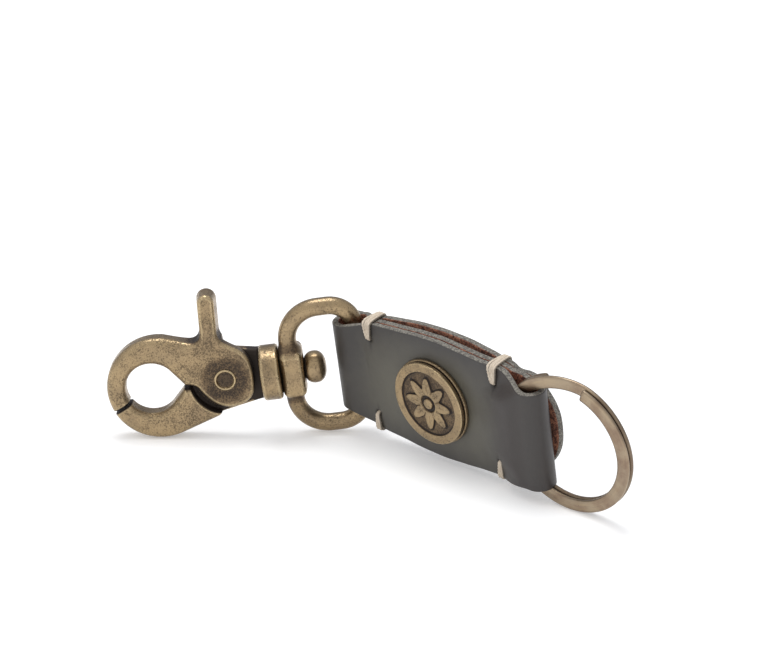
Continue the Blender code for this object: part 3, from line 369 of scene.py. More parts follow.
def build_mesh(name, points, faces, uv=None, marks=None, crisp_angle=None):
    """A mesh from an array of points and arrays of faces, one array for each number of corners."""
    flat = np.concatenate([group.ravel() for group in faces])
    sizes = np.concatenate([np.full(len(group), group.shape[1]) for group in faces])
    mesh = bpy.data.meshes.new(name)
    mesh.vertices.add(len(points))
    mesh.vertices.foreach_set("co", np.asarray(points, np.float32).ravel())
    mesh.loops.add(len(flat))
    mesh.loops.foreach_set("vertex_index", flat.astype(np.int32))
    mesh.polygons.add(len(sizes))
    mesh.polygons.foreach_set("loop_start", (np.cumsum(sizes) - sizes).astype(np.int32))
    mesh.update(calc_edges=True)
    if uv is not None:
        spread = np.zeros((len(flat), 2), np.float32)
        spread[:len(uv)] = uv
        mesh.uv_layers.new(name="UVMap").uv.foreach_set("vector", spread.ravel())
    for mark, values in (marks or {}).items():
        layer = mesh.attributes.new(mark, "FLOAT", "POINT")
        layer.data.foreach_set("value", np.asarray(values, np.float32).ravel())
    shape = bmesh.new()
    shape.from_mesh(mesh)
    bmesh.ops.recalc_face_normals(shape, faces=shape.faces)
    shape.to_mesh(mesh)
    shape.free()
    mesh.shade_smooth()
    if crisp_angle:
        mesh.set_sharp_from_angle(angle=math.radians(crisp_angle))
    return mesh


def add_piece(mesh, place, body, node, material):
    """Puts a mesh in its place on a body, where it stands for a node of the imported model."""
    mesh.transform(place)
    mesh.materials.append(material)
    piece = bpy.data.objects.new(mesh.name, mesh)
    bpy.context.scene.collection.objects.link(piece)
    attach(piece, body)
    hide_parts(node)
    return piece


def tube_points(path, first, second, shape_first, shape_second):
    """A profile carried along a path: each path point plus the profile's two offsets along two directions."""
    offsets = first[:, None] * shape_first[..., None]
    return path[:, None] + offsets + second[:, None] * shape_second[..., None]


def turned_points(along, radius, sides):
    """A profile of places and radii turned round the X axis."""
    angle = math.tau * (np.arange(sides) + 0.5) / sides
    ring = np.stack([np.ones(sides), np.cos(angle), np.sin(angle)], -1)
    return ring[None] * np.stack([along, radius, radius], -1)[:, None]


def rounded_profile(corners, radius, steps):
    """A profile through corner points with each inner corner replaced by a small quadratic curve."""
    corners = np.asarray(corners, float)
    before = corners[:-2] - corners[1:-1]
    after = corners[2:] - corners[1:-1]
    reach_before = np.minimum(radius, np.linalg.norm(before, axis=1) / 2.01)[:, None]
    reach_after = np.minimum(radius, np.linalg.norm(after, axis=1) / 2.01)[:, None]
    start = corners[1:-1] + before / np.linalg.norm(before, axis=1)[:, None] * reach_before
    end = corners[1:-1] + after / np.linalg.norm(after, axis=1)[:, None] * reach_after
    share = np.linspace(0, 1, steps)[None, :, None]
    pulled = 2 * share * (1 - share) * corners[1:-1, None]
    curve = (1 - share) ** 2 * start[:, None] + pulled + share ** 2 * end[:, None]
    return np.concatenate([corners[:1], curve.reshape(-1, 2), corners[-1:]])


# Cast shapes: solids where a field of distances is below zero

def arc(centre, radius, start, end, steps):
    angle = np.radians(np.linspace(start, end, steps))
    return np.stack([centre[0] + radius * np.cos(angle), centre[1] + radius * np.sin(angle)], 1)


def softened(points):
    """An open outline with its corners cut to quarter points, three times over."""
    for _ in range(3):
        near = 0.75 * points[:-1] + 0.25 * points[1:]
        far = 0.25 * points[:-1] + 0.75 * points[1:]
        between_points = np.stack([near, far], 1).reshape(-1, 2)
        points = np.concatenate([points[:1], between_points[1:-1], points[-1:]])
    return points


def outline_distance(x, z, outline):
    """Distance from each point to the nearest side of a closed outline, below zero inside, where a level line
    from the point crosses the outline an odd number of times."""
    shape = np.broadcast(x, z).shape
    x = np.broadcast_to(x, shape).reshape(-1, 1)
    z = np.broadcast_to(z, shape).reshape(-1, 1)
    x1, z1 = outline[:, 0], outline[:, 1]
    x2, z2 = np.roll(x1, -1), np.roll(z1, -1)
    run_x, run_z = x2 - x1, z2 - z1
    share = np.clip(((x - x1) * run_x + (z - z1) * run_z) / (run_x ** 2 + run_z ** 2 + 1e-18), 0, 1)
    distance = np.sqrt(((x - x1 - share * run_x) ** 2 + (z - z1 - share * run_z) ** 2).min(1))
    level = (z1 > z) != (z2 > z)
    rise = np.where(run_z == 0, 1, run_z)
    crossed = level & (x < x1 + (z - z1) / rise * run_x)
    inside = crossed.sum(1) % 2 == 1
    return np.where(inside, -distance, distance).reshape(shape)


def plate(flat, depth, rounding):
    """A plate with a rounded rim: a flat distance and a distance in depth, both drawn in by the rounding,
    joined as the sides of a right angle, and let out again."""
    side, cap = flat + rounding, depth + rounding
    return np.minimum(np.maximum(side, cap), 0) + np.hypot(np.maximum(side, 0), np.maximum(cap, 0)) - rounding


def joined(first, second, fillet):
    """Two solids as one casting, with a fillet where they meet."""
    share = np.clip(0.5 + 0.5 * (second - first) / fillet, 0, 1)
    return second * (1 - share) + first * share - fillet * share * (1 - share)


def cut(solid, cutter, rounding):
    """A solid without the room of a cutter, its new edges slightly rounded."""
    return -joined(-solid, cutter, rounding)


def between(grid, places):
    """Values of a grid at places between its points, from the eight points round each place."""
    base = np.clip(np.floor(places).astype(int), 0, np.array(grid.shape) - 2)
    part = places - base
    total = np.zeros(len(places))
    for corner in np.ndindex(2, 2, 2):
        weight = np.where(corner, part, 1 - part).prod(1)
        total += weight * grid[tuple((base + corner).T)]
    return total


def net_faces(field):
    """The surface where a field is zero: a point in each cell that it crosses, at the mean of the crossings
    on the cell's edges, and a face across each grid edge whose ends lie on different sides."""
    cells = tuple(np.array(field.shape) - 1)
    count = np.zeros(math.prod(cells))
    total = np.zeros((3, math.prod(cells)))
    inside = field < 0
    crossings = []
    for axis in range(3):
        low = tuple(slice(None, -1) if k == axis else slice(None) for k in range(3))
        high = tuple(slice(1, None) if k == axis else slice(None) for k in range(3))
        crossed = inside[low] != inside[high]
        where = np.argwhere(crossed)
        point = where.astype(float)
        point[:, axis] += field[low][crossed] / (field[low][crossed] - field[high][crossed])
        others = ((axis + 1) % 3, (axis + 2) % 3)
        corners = []
        for shift in ((1, 1), (0, 1), (0, 0), (1, 0)):
            cell = where.copy()
            cell[:, others] -= shift
            index = np.ravel_multi_index(cell.T, cells)
            corners.append(index)
            count += np.bincount(index, minlength=len(count))
            for k in range(3):
                total[k] += np.bincount(index, point[:, k], len(count))
        quads = np.stack(corners, 1)
        outward = inside[low][crossed]
        crossings.append(np.where(outward[:, None], quads, quads[:, ::-1]))
    used = count > 0
    number = np.cumsum(used) - 1
    return (total[:, used] / count[used]).T, number[np.concatenate(crossings)]


def cast_mesh(name, field_of, low, high, cell, patina_and_shade_of, neighbour_of=None):
    """A casting from its field of distances: the zero surface, drawn onto the field by its slope, with two
    marks for the finish. relief is above zero on worn edges and below it in fillets; hollow is how far the
    room in front of the surface is closed in by the casting itself, standing for patina in its own hollows,
    and by its neighbour, which is painted shade; the piece's own patina and painted shade are added to it."""
    axes = [np.arange(start, end, cell) for start, end in zip(low, high)]
    x, y, z = np.meshgrid(*axes, indexing="ij", sparse=True)
    field = field_of(x, y, z)
    places, faces = net_faces(field)
    slopes = np.gradient(field, cell)
    for _ in range(3):
        slope = np.stack([between(part, places) for part in slopes], 1)
        steep = (slope ** 2).sum(1) + 1e-9
        places = places - slope * (between(field, places) / steep)[:, None] / cell
    slope = np.stack([between(part, places) for part in slopes], 1)
    normal = slope / np.linalg.norm(slope, axis=1)[:, None]
    bend = sum(np.gradient(part, cell, axis=k) for k, part in enumerate(slopes))
    relief = np.tanh(between(bend, places) * RELIEF_SHARE * MM)
    # Painted shade: where the neighbouring casting closes in the room in front of the surface, the gap
    # darkens
    around = field if neighbour_of is None else np.minimum(field, neighbour_of(x, y, z))
    hollow = 0
    for reach in HOLLOW_REACHES:
        ahead = np.clip(places + normal * reach / cell, 0, np.array(field.shape) - 1.001)
        hollow = hollow + np.clip(1 - between(around, ahead) / reach, 0, 1) / 3
    points = np.array(low) + places * cell
    marks = {"relief": relief, "hollow": hollow + patina_and_shade_of(*points.T)}
    return build_mesh(name, points, [faces], marks=marks)


# Outlines of the hook, in its own X-Z plane

def throat_outline():
    """Round throat drawn out to a point at the cusp."""
    tangent = math.degrees(math.acos(THROAT_RADIUS / (CUSP[0] - THROAT_CENTRE[0])))
    return np.concatenate([arc(THROAT_CENTRE, THROAT_RADIUS, tangent, 360 - tangent, 90), [CUSP]])


def split_side(x, z):
    """Distance from the jaw's split line, above zero on the trigger's side."""
    run = SPLIT_INNER - SPLIT_OUTER
    along = run / np.linalg.norm(run)
    return (z - SPLIT_OUTER[1]) * along[0] - (x - SPLIT_OUTER[0]) * along[1]


def trigger_field(x, y, z):
    """Upper jaw, boss and thumb lever as one plate with a rounded rim, the lever with some draft and a
    fillet at its root, without the split, the half lap, the dish, the bore and the spring's room."""
    pivot_x, pivot_z = PIVOT
    outline = np.concatenate([
        arc(JAW_CENTRE, JAW_RADIUS, 225, 78, 100),
        softened(TRIGGER_BACK),
        [(CUSP[0] - POINT_LENGTH, CUSP[1] + TIP_GAP / 2), THROAT_CENTRE]])
    flat = np.maximum(outline_distance(x, z, outline), -outline_distance(x, z, throat_outline()))
    pivot_distance = np.hypot(x - pivot_x, z - pivot_z)
    run = LEVER_TOP - LEVER_FOOT
    across, up = x - LEVER_FOOT[0], z - LEVER_FOOT[1]
    share = np.clip((across * run[0] + up * run[1]) / (run @ run), 0, 1)
    stem = np.hypot(across - share * run[0], up - share * run[1]) - LEVER_WIDTH / 2
    stem = stem + LEVER_DRAFT_SHARE * (HALF_HOOK - y)
    rounding = RIM_ROUNDING + RIM_ROUNDING * smooth_step(-x, *RIM_CHANGE)
    solid = plate(joined(flat, stem, LEVER_FILLET), np.abs(y) - HALF_HOOK, rounding)

    below_split = np.maximum(split_side(x, z) - TIP_GAP / 2, x - THROAT_CENTRE[0])
    solid = cut(solid, below_split, SPLIT_ROUNDING)
    shoulder = np.maximum(pivot_distance - SHOULDER_REACH, SHOULDER_PLACE - x)
    lap = np.maximum(-LAP_GAP - y, np.minimum(pivot_distance - LAP_RADIUS, shoulder))
    solid = cut(solid, lap, LAP_ROUNDING)
    dish = np.hypot(pivot_distance, y + HALF_HOOK + DISH_BALL_STAND_OFF) - DISH_BALL_RADIUS
    solid = cut(solid, dish, DISH_ROUNDING)
    solid = np.maximum(solid, RIVET_RADIUS + BORE_GAP - pivot_distance)
    pocket = np.maximum(pivot_distance - SPRING_POCKET_RADIUS, -LAP_GAP - SPRING_POCKET_DEPTH - y)
    solid = cut(solid, pocket, SPRING_POCKET_ROUNDING)
    angle = np.degrees(np.arctan2(z - pivot_z, x - pivot_x)) % 360
    leg_room = np.maximum(np.abs(angle - SPRING_LEG_DEGREES) - SPRING_LEG_SWEEP, 0) * SPRING_LEG_FLARE
    leg_room = np.maximum(leg_room + pivot_distance - SPRING_LEG_REACH, -LAP_GAP - SPRING_POCKET_DEPTH - y)
    return cut(solid, leg_room, SPRING_POCKET_ROUNDING)


def hook_patina_and_shade(x, y, z):
    """Patina that thickens toward the boss and the lever's root; in the dish round the rivet patina and
    painted shade, painted shade on the rear plate's face in the gap between the boss and the collar, and
    darker along the jaws' split.
    """
    # Patina and painted shade in the dish round the rivet, on the front
    inside = DISH_PATINA_AND_SHADE_RADIUS - np.hypot(x - PIVOT[0], z - PIVOT[1])
    dish = smooth_step(inside, 0, DISH_PATINA_AND_SHADE_FADE) * (y < 0)
    near = smooth_step(x, *BOSS_STAIN) * smooth_step(-x, *BOSS_STAIN_END)
    near = near * (0.75 + 0.25 * smooth_step(-z, *LEVER_STAIN_END))
    # Painted shade on the rear plate's face in the gap between the boss and the collar
    gap_shade = smooth_step(x, *WALL_SHADE) * smooth_step(-x, *WALL_SHADE_END) * (y > WALL_SHADE_FRONT)
    # Darker along the jaws' split
    split = bell(split_side(x, z), SPLIT_DARKENING_WIDTH) * (x < THROAT_CENTRE[0])
    return 0.11 * near + 0.18 * dish + 0.5 * gap_shade + 0.5 * split


def eye_shade_and_darkening(x, y, z):
    """Painted shade on the eye's lower arch, and the end of its block next to the collar made darker."""
    # Painted shade on the lower arch, where less light falls than on the top
    low = smooth_step(-z, *ARCH_SHADE)
    end = smooth_step(-x - EYE_WIDTH, *BLOCK_DARKENING)
    return 0.10 * low + 0.28 * end


def hook_field(x, y, z):
    """Lower jaw as a plate with a rounded rim, cut along the split and round the boss; a thinner plate behind
    the boss; the collar as a turned drum; then the bores of the rivet, the pin and the spring's leg."""
    pivot_x, pivot_z = PIVOT
    outline = np.concatenate([
        arc(JAW_CENTRE, JAW_RADIUS, 160, 287, 90),
        [*JAW_HEEL, PIVOT, (CUSP[0], CUSP[1] - TIP_GAP), THROAT_CENTRE]])
    flat = np.maximum(outline_distance(x, z, outline), -outline_distance(x, z, throat_outline()))
    pivot_distance = np.hypot(x - pivot_x, z - pivot_z)
    jaw = plate(flat, np.abs(y) - HALF_HOOK, JAW_ROUNDING)
    above_split = np.maximum(-split_side(x, z) - TIP_GAP / 2, x - THROAT_CENTRE[0])
    jaw = cut(jaw, above_split, SPLIT_ROUNDING)
    jaw = cut(jaw, pivot_distance - RECESS_RADIUS, RECESS_ROUNDING)

    outline = np.concatenate([REAR_FOOT, arc(PIVOT, REAR_RADIUS, 63, 183, 40), REAR_HEEL])
    back_face = HALF_HOOK - LAP_GAP / 2
    middle, half = (LAP_GAP + back_face) / 2, (back_face - LAP_GAP) / 2
    rear = plate(outline_distance(x, z, outline), np.abs(y - middle) - half, REAR_ROUNDING)
    solid = joined(jaw, rear, REAR_ROUNDING)

    axle_distance = np.hypot(y, z)
    collar = plate(axle_distance - COLLAR_RADIUS, np.abs(x) - COLLAR_LENGTH / 2, COLLAR_ROUNDING)
    solid = joined(solid, collar, COLLAR_FILLET)
    solid = np.maximum(solid, RIVET_RADIUS + BORE_GAP - pivot_distance)
    bore = np.maximum(axle_distance - PIN_RADIUS - BORE_GAP, -COLLAR_LENGTH / 4 - x)
    solid = np.maximum(solid, -bore)
    leg = np.hypot(x - pivot_x - LEG_HOLE_OFFSET, z - pivot_z) - LEG_HOLE_RADIUS
    return np.maximum(solid, -np.maximum(leg, y - LEG_HOLE_END))


def eye_field(x, y, z):
    """Round bar bent to an oval with tight corners at the strap and wide ones at the pin, joined by fillets
    to the block that the pin turns in."""
    half = EYE_HEIGHT / 2
    tight, wide = EYE_TIGHT_CORNER, EYE_WIDE_CORNER
    line = np.concatenate([
        arc((-tight, half - tight), tight, 0, 90, 40),
        arc((-EYE_WIDTH + wide, half - wide), wide, 90, 180, 40),
        arc((-EYE_WIDTH + wide, wide - half), wide, 180, 270, 40),
        arc((-tight, tight - half), tight, 270, 360, 40)])
    bar = np.hypot(outline_distance(x, z, line), y) - EYE_BAR_RADIUS
    block_x = np.abs(x + EYE_WIDTH - BLOCK_OUTSET) - BLOCK_LENGTH / 2 - BLOCK_OUTSET
    outer = plate(block_x, np.abs(y) - BLOCK_DEPTH / 2, BLOCK_ROUNDING)
    block = plate(outer, np.abs(z) - BLOCK_HEIGHT / 2, BLOCK_ROUNDING)
    solid = joined(bar, block, BLOCK_FILLET)
    return np.maximum(solid, PIN_RADIUS + BORE_GAP - np.hypot(y, z))


# The strap's path: back panel, loop round the eye, front panel, loop round the split ring, tucked layer

def front_lift(across, up):
    """How far the front panel stands forward to clear the split ring, sooner in its middle than at its
    edges."""
    edge = smooth_step(np.abs(up), *EDGE_LIFT)
    later = edge * np.where(np.asarray(up) > 0, 1.0, 0.45)
    start, end = (12.5 + 7.5 * later) * MM, (24.5 + 4.5 * later) * MM
    return LOOP_LIFT * smooth_step(across, start, end)


def strap_runs(thickness):
    """Points of the strip's middle line, run by run, and how far each belongs to the front layers, to the
    back layers and to the tab."""
    front = thickness / 2
    tuck = front + thickness + LAYER_GAP
    back = tuck + thickness + LAYER_GAP
    loop_front, loop_back = front - LOOP_LIFT, tuck + BACK_SET
    radius = (loop_back - loop_front) / 2
    centre = np.array((HALF_SPACING + RING_LOOP_LENGTH - radius, (loop_front + loop_back) / 2))
    tab_end = HALF_SPACING + TAB_LENGTH
    landing = HALF_SPACING + STITCH_LANDING

    def set_back(place):
        return BACK_SET * smooth_step(place, HALF_SPACING + RING_BAND_WIDTH, centre[0])

    place = np.concatenate([np.linspace(tab_end, -HALF_SPACING, 400), (-landing,)])
    bulge = BACK_BULGE * (1 - np.clip(place / HALF_SPACING, -1, 1) ** 4)
    back_run = np.stack([place, back + bulge + set_back(place)], 1)
    turned = np.radians(np.linspace(82, 272, 60))
    wide, deep = [EYE_BAR_RADIUS + clearance + thickness / 2 for clearance in EYE_LOOP_CLEARANCES]
    eye_run = np.stack([BAR_PLACE[0] + wide * squared(np.cos(turned), 0.7),
                        BAR_PLACE[1] - deep * squared(-np.sin(turned), 0.7)], 1)
    place = np.linspace(-landing, HALF_SPACING, 260)
    front_run = np.stack([place, front - front_lift(place, 0)], 1)
    place = np.linspace(HALF_SPACING, centre[0], 80)[1:]
    rise_run = np.stack([place, front - front_lift(place, 0)], 1)
    ring_run = arc(centre, radius, -90, 90, 60)[1:]
    place = np.linspace(centre[0], -HALF_SPACING - TUCK_LENGTH, 400)[1:]
    tuck_run = np.stack([place, tuck + set_back(place)], 1)
    runs = (back_run, eye_run, front_run, rise_run, ring_run, tuck_run)
    path = np.concatenate(runs)
    number = np.repeat(np.arange(len(runs)), [len(run) for run in runs])
    at_front = ((number == 2) | (number == 3)).astype(float)
    at_back = ((number == 0) | (number == 5)).astype(float)
    tab = np.where(number == 0, smooth_step(path[:, 0], HALF_SPACING, tab_end), 0)
    return path, np.stack([at_front, at_back, tab], 1)


def front_rise(across):
    """Share of the ring loop's rise that the front layer has at a place."""
    return smooth_step(across, *[HALF_SPACING + place for place in LOOP_RISE])


def strap_half_height(across, up_share):
    """Half the strip's height: fullest in the middle, drawn in at the stitches and further in the loops."""
    swelling = np.cos(np.clip(across / HALF_SPACING, -1, 1) * math.pi / 2) ** 2
    middle = STITCH_HALF_HEIGHT + MIDDLE_SWELL * swelling
    at_eye = np.clip((-across - EYE_TAPER_START) / EYE_TAPER_LENGTH, 0, 1)
    at_ring = smooth_step(across, *[HALF_SPACING + place for place in RING_TAPER])
    left = (2.65 + 0.25 * np.sign(up_share)) * MM * at_eye
    right = (2.0 + 0.5 * np.sign(up_share)) * MM * at_ring
    return middle - left - right


def settle(values, width):
    """A running mean along a path, to round its kinks; its ends stay."""
    kernel = np.hanning(2 * width + 3)[1:-1]
    kernel /= kernel.sum()
    padded = np.pad(values, ((width, width), (0, 0)), mode="reflect", reflect_type="odd")
    return np.stack([np.convolve(padded[:, k], kernel, "valid") for k in range(values.shape[1])], 1)


def strap_mesh(sizes):
    """The strip: two parameters, the place along its path and the place round its section, a rectangle with
    rounded corners. The split ring presses the layers apart, the tab's end is rounded, and each stitch draws
    its edge in and sinks a small pit where it enters."""
    thickness = sizes.leather_thickness
    path, carried = strap_runs(thickness)
    length = travelled_along(path)
    even = np.linspace(0, length[-1], 1200)
    path = settle(resampled(even, length, path), 9)
    stations = strap_stations(even, path)
    path = resampled(stations, even, path)
    carried = resampled(stations, even, resampled(even, length, carried))
    along = np.gradient(path, stations, axis=0)
    along /= np.linalg.norm(along, axis=1)[:, None]
    square = np.stack([along[:, 1], -along[:, 0]], 1)

    rounding = sizes.edge_rounding
    rows = strap_rows()
    corner = np.radians(np.linspace(0, 90, 6))[1:]
    # One half of the section, from the middle of the lower edge to the middle of the upper edge
    share = np.concatenate([np.full(6, -1), rows, np.full(6, 1)])
    arc_deep = np.concatenate([(-1,), np.cos(corner)[::-1], np.ones(len(rows)), np.cos(corner), (-1,)])
    arc_up = np.concatenate([(-1,), -np.sin(corner)[::-1], np.zeros(len(rows)), np.sin(corner), (1,)])
    flat = np.concatenate([(0,), np.ones(len(share) - 2), (0,)])
    share = np.concatenate([share, share[::-1]])
    side = np.concatenate([np.ones(len(flat)), -np.ones(len(flat))])
    arc_deep = np.concatenate([arc_deep, arc_deep[::-1]])
    arc_up = np.concatenate([arc_up, arc_up[::-1]])
    middle_edge = np.concatenate([flat == 0, flat[::-1] == 0])

    # Both ends of the strip are rounded off over the corner's radius
    from_end = np.minimum(stations, stations[-1] - stations)
    end_drop = rounding - np.sqrt(np.maximum(rounding ** 2 - np.maximum(rounding - from_end, 0) ** 2, 0))
    half_deep = thickness / 2 - end_drop
    least = LEAST_HALF_THICKNESS
    deep = np.where(middle_edge, least, half_deep[:, None] - rounding * (1 - arc_deep))
    deep = np.maximum(deep, least) * side
    half = strap_half_height(path[:, :1], share)
    up = share * (half - rounding) + rounding * arc_up
    up_share = up / half

    front, back, tab = carried.T[:, :, None]
    x = path[:, :1] + square[:, :1] * deep
    y = path[:, 1:] + square[:, 1:] * deep
    x = x - TAB_END_ROUND * np.abs(up_share) ** 2.5 * tab
    loop = smooth_step(x, *[HALF_SPACING + place for place in LOOP_DRAWN]) * (1 - tab) * (1 - back * 0.6)
    x = x - (sizes.loop_draw + sizes.loop_taper * up_share) * loop
    reach = np.hypot(x - PRESS_CENTRE[0], up - PRESS_CENTRE[1]) - RING_RADIUS - RING_BAND_WIDTH / 2
    press = smooth_step(-reach, *PRESS_FADE)
    risen = front_rise(x)
    y = y - (front_lift(x, up) - front_lift(x, 0)) * front + PRESS_DEPTH * (1 - risen) * press * back

    outside = side > 0
    near_hole, scuff, pinch = 0, 0, 0
    scuff_shift, scuff_width, scuff_drop, scuff_length = 0.25 * MM, 0.35 * MM, 1.2 * MM, 1.3 * MM
    pinch_width, pinch_start, pinch_end = 1.9 * MM, -0.5 * MM, 3.0 * MM
    for hole_x in (-HALF_SPACING, HALF_SPACING):
        across = x - hole_x
        for sign in (1, -1):
            below = up * sign - HOLE_HEIGHT
            spot = np.hypot(across, below)
            near_hole = near_hole + bell(spot, HOLE_WIDTH)
            scuff = scuff + bell(across - scuff_shift, scuff_width) * bell(below + scuff_drop, scuff_length)
            pinch = pinch + bell(across, pinch_width) * smooth_step(below, pinch_start, pinch_end)
    skin = outside * (front + back * (path[:, 1:] > OUTER_BACK))
    drawn_in = (HOLE_DEPTH * near_hole + sizes.stitch_pinch * pinch) * skin
    x = x - square[:, :1] * drawn_in
    y = y - square[:, 1:] * drawn_in
    travelled = stations[:, None]
    wave = np.sin(travelled * 410 + 1.3) * np.sin(up * 260 + 0.6) + 0.6 * np.sin(travelled * 820 + up * 500)
    y = y + WAVE_HEIGHT * wave * (1 - near_hole.clip(0, 1)) * (front + back) * (1 - press)

    count, columns = len(stations), len(share)
    points = np.stack([x, y, up], -1).reshape(-1, 3)
    quads, places = grid_quads(count, columns)
    half_count = columns // 2
    low = np.arange(half_count - 1)
    start = np.stack([low, low + 1, columns - 2 - low, columns - 1 - low], 1)
    caps = np.concatenate([start, start + (count - 1) * columns])
    flesh = np.broadcast_to(~outside, x.shape).astype(float)
    edge = np.clip((1 - arc_deep) * 2.2, 0, 1)
    edge = np.maximum(edge, smooth_step(rounding - from_end, 0, rounding * 0.6)[:, None])
    edge = np.maximum(edge, middle_edge)
    # Painted sheen: lighter in the panel's middle, darker toward its edges, its ends and the loops
    sheen_spread = smooth_step(-np.abs(x - SHEEN_CENTRE), *SHEEN_FADE)
    # Painted shade over the ring loop, lifted by a painted highlight band near its fold
    painted_loop_shade = smooth_step(x, *LOOP_SHADE_SPAN) * (1 - 0.7 * bell(x - LOOP_HIGHLIGHT_PLACE, LOOP_HIGHLIGHT_WIDTH))
    marks = {"flesh": flesh, "edge": edge, "hole": (near_hole * 1.2 * skin).clip(0, 1),
             "scuff": (scuff * skin).clip(0, 1), "loop_shade": painted_loop_shade * (1 - tab),
             "middle": (1 - np.abs(up_share) ** 2) * (front + back) * sheen_spread}
    return build_mesh("strap", points, [quads, caps], uv=places * (stations[-1], 1), marks=marks)


def strap_stations(even, path):
    """Places along the path, drawn together near the stitches and in the loops."""
    stitch_reach, end_reach, turn_length = 1.6 * MM, 0.6 * MM, 0.6 * MM
    near = bell(np.abs(path[:, 0]) - HALF_SPACING, stitch_reach) * 1.6
    heading = np.unwrap(np.arctan2(*np.gradient(path, axis=0).T))
    turning = np.abs(np.gradient(heading, even)) * turn_length
    weight = 1 + near + np.minimum(turning * 6, 1.5)
    ends = np.minimum(even, even[-1] - even)
    return drawn_together(even, weight + 7 * bell(ends, end_reach), 470)


def strap_rows():
    """Shares of the half height, drawn together near the stitches' holes and the edges."""
    even = np.linspace(-1, 1, 801)
    weight = 1 + 1.5 * bell(np.abs(even) - 0.69, 0.07) + 1.2 * bell(np.abs(even) - 1, 0.05)
    return drawn_together(even, weight, 80)


def strand_points(across, sign, share, sizes, fan):
    """One strand of a whip stitch: out of the front hole, up over the strap's edge and down to the back hole,
    with a section of three plies that turn as they go. share is its place in the fan."""
    radius = sizes.thread_radius
    thickness = sizes.leather_thickness
    strap_back = 3 * thickness + 2 * LAYER_GAP
    front, back = -radius * 0.8, strap_back + radius * 0.8
    middle, half_deep = (front + back) / 2, (back - front) / 2
    edge = STITCH_HALF_HEIGHT + radius * 0.85
    corner = half_deep * 0.42
    over = np.radians(np.linspace(178, 2, 60))
    arch = np.stack([middle + half_deep * squared(np.cos(over), 0.55),
                     edge - corner + corner * np.abs(np.sin(over)) ** 0.62], 1)
    above_hole, hole_width, sway_width, end_round = 0.55 * MM, 0.35 * MM, 0.10 * MM, 0.3 * MM
    rise = HOLE_HEIGHT + above_hole
    leg = np.linspace(rise, arch[0, 1], 12)[:-1]
    front_leg = np.stack([np.full_like(leg, front), leg], 1)
    back_leg = np.stack([np.full_like(leg, back), leg[::-1]], 1)
    inward = np.array(((1.5, -0.15), (0.75, -0.05), (0.2, 0.15))) * MM
    dip = inward + (front, HOLE_HEIGHT)
    rise_out = np.stack([back + front - dip[::-1, 0], dip[::-1, 1]], 1)
    path = np.concatenate([dip, front_leg, arch, back_leg, rise_out])
    length = travelled_along(path)
    even = np.linspace(0, length[-1], 170)
    path = settle(resampled(even, length, path), 4)
    spread = np.sqrt(np.clip((path[:, 1] - HOLE_HEIGHT) / (edge - HOLE_HEIGHT), 0, 1))
    behind = smooth_step(path[:, 0], front, back)
    width = hole_width + (fan - hole_width) * spread * (1 - 0.4 * behind)
    sway = sway_width * np.sin(even * 420 + share * 9) * spread
    line = np.stack([across + share * width + sway, path[:, 0], sign * path[:, 1]], 1)
    along = np.gradient(line, axis=0)
    along /= np.linalg.norm(along, axis=1)[:, None]
    first = np.cross(along, (1.0, 0, 0))
    first /= np.linalg.norm(first, axis=1)[:, None]
    second = np.cross(along, first)
    sides = 15
    angle = math.tau * np.arange(sides) / sides
    twist = even[:, None] * math.tau / sizes.ply_pitch + share * 5
    swell = radius * (0.78 + 0.22 * spread[:, None]) * (1 + 0.13 * np.cos(3 * (angle - twist)))
    ends = np.minimum(even, even[-1] - even)
    swell = swell * np.sqrt(np.clip(ends[:, None] / end_round, 0.05, 1))
    return tube_points(line, first, second, swell * np.cos(angle), swell * np.sin(angle)), even[-1]


def stitch_mesh(name, across, sign, sizes):
    """Strands side by side in a fan that is widest over the edge and narrowest at its holes."""
    fan = sizes.fan_width if sign > 0 else sizes.fan_width * 0.58
    points, quads, places, caps, sideways = [], [], [], [], []
    count = 0
    for share in np.linspace(-0.38, 0.38, 4):
        strand, length = strand_points(across, sign, share, sizes, fan)
        rows, sides = strand.shape[:2]
        faces, corners = grid_quads(rows, sides)
        quads.append(faces + count)
        places.append(corners * (length, 1) + (share, 0))
        caps.append(end_caps(rows, sides) + count)
        points.append(strand.reshape(-1, 3))
        # How far each face turns toward the neighbouring strands, for painted shade between them
        sideways.append(np.tile(np.abs(np.sin(math.tau * np.arange(sides) / sides)), rows))
        count += rows * sides
    return build_mesh(name, np.concatenate(points), [np.concatenate(quads), np.concatenate(caps)],
                      uv=np.concatenate(places), marks={"sideways": np.concatenate(sideways)})


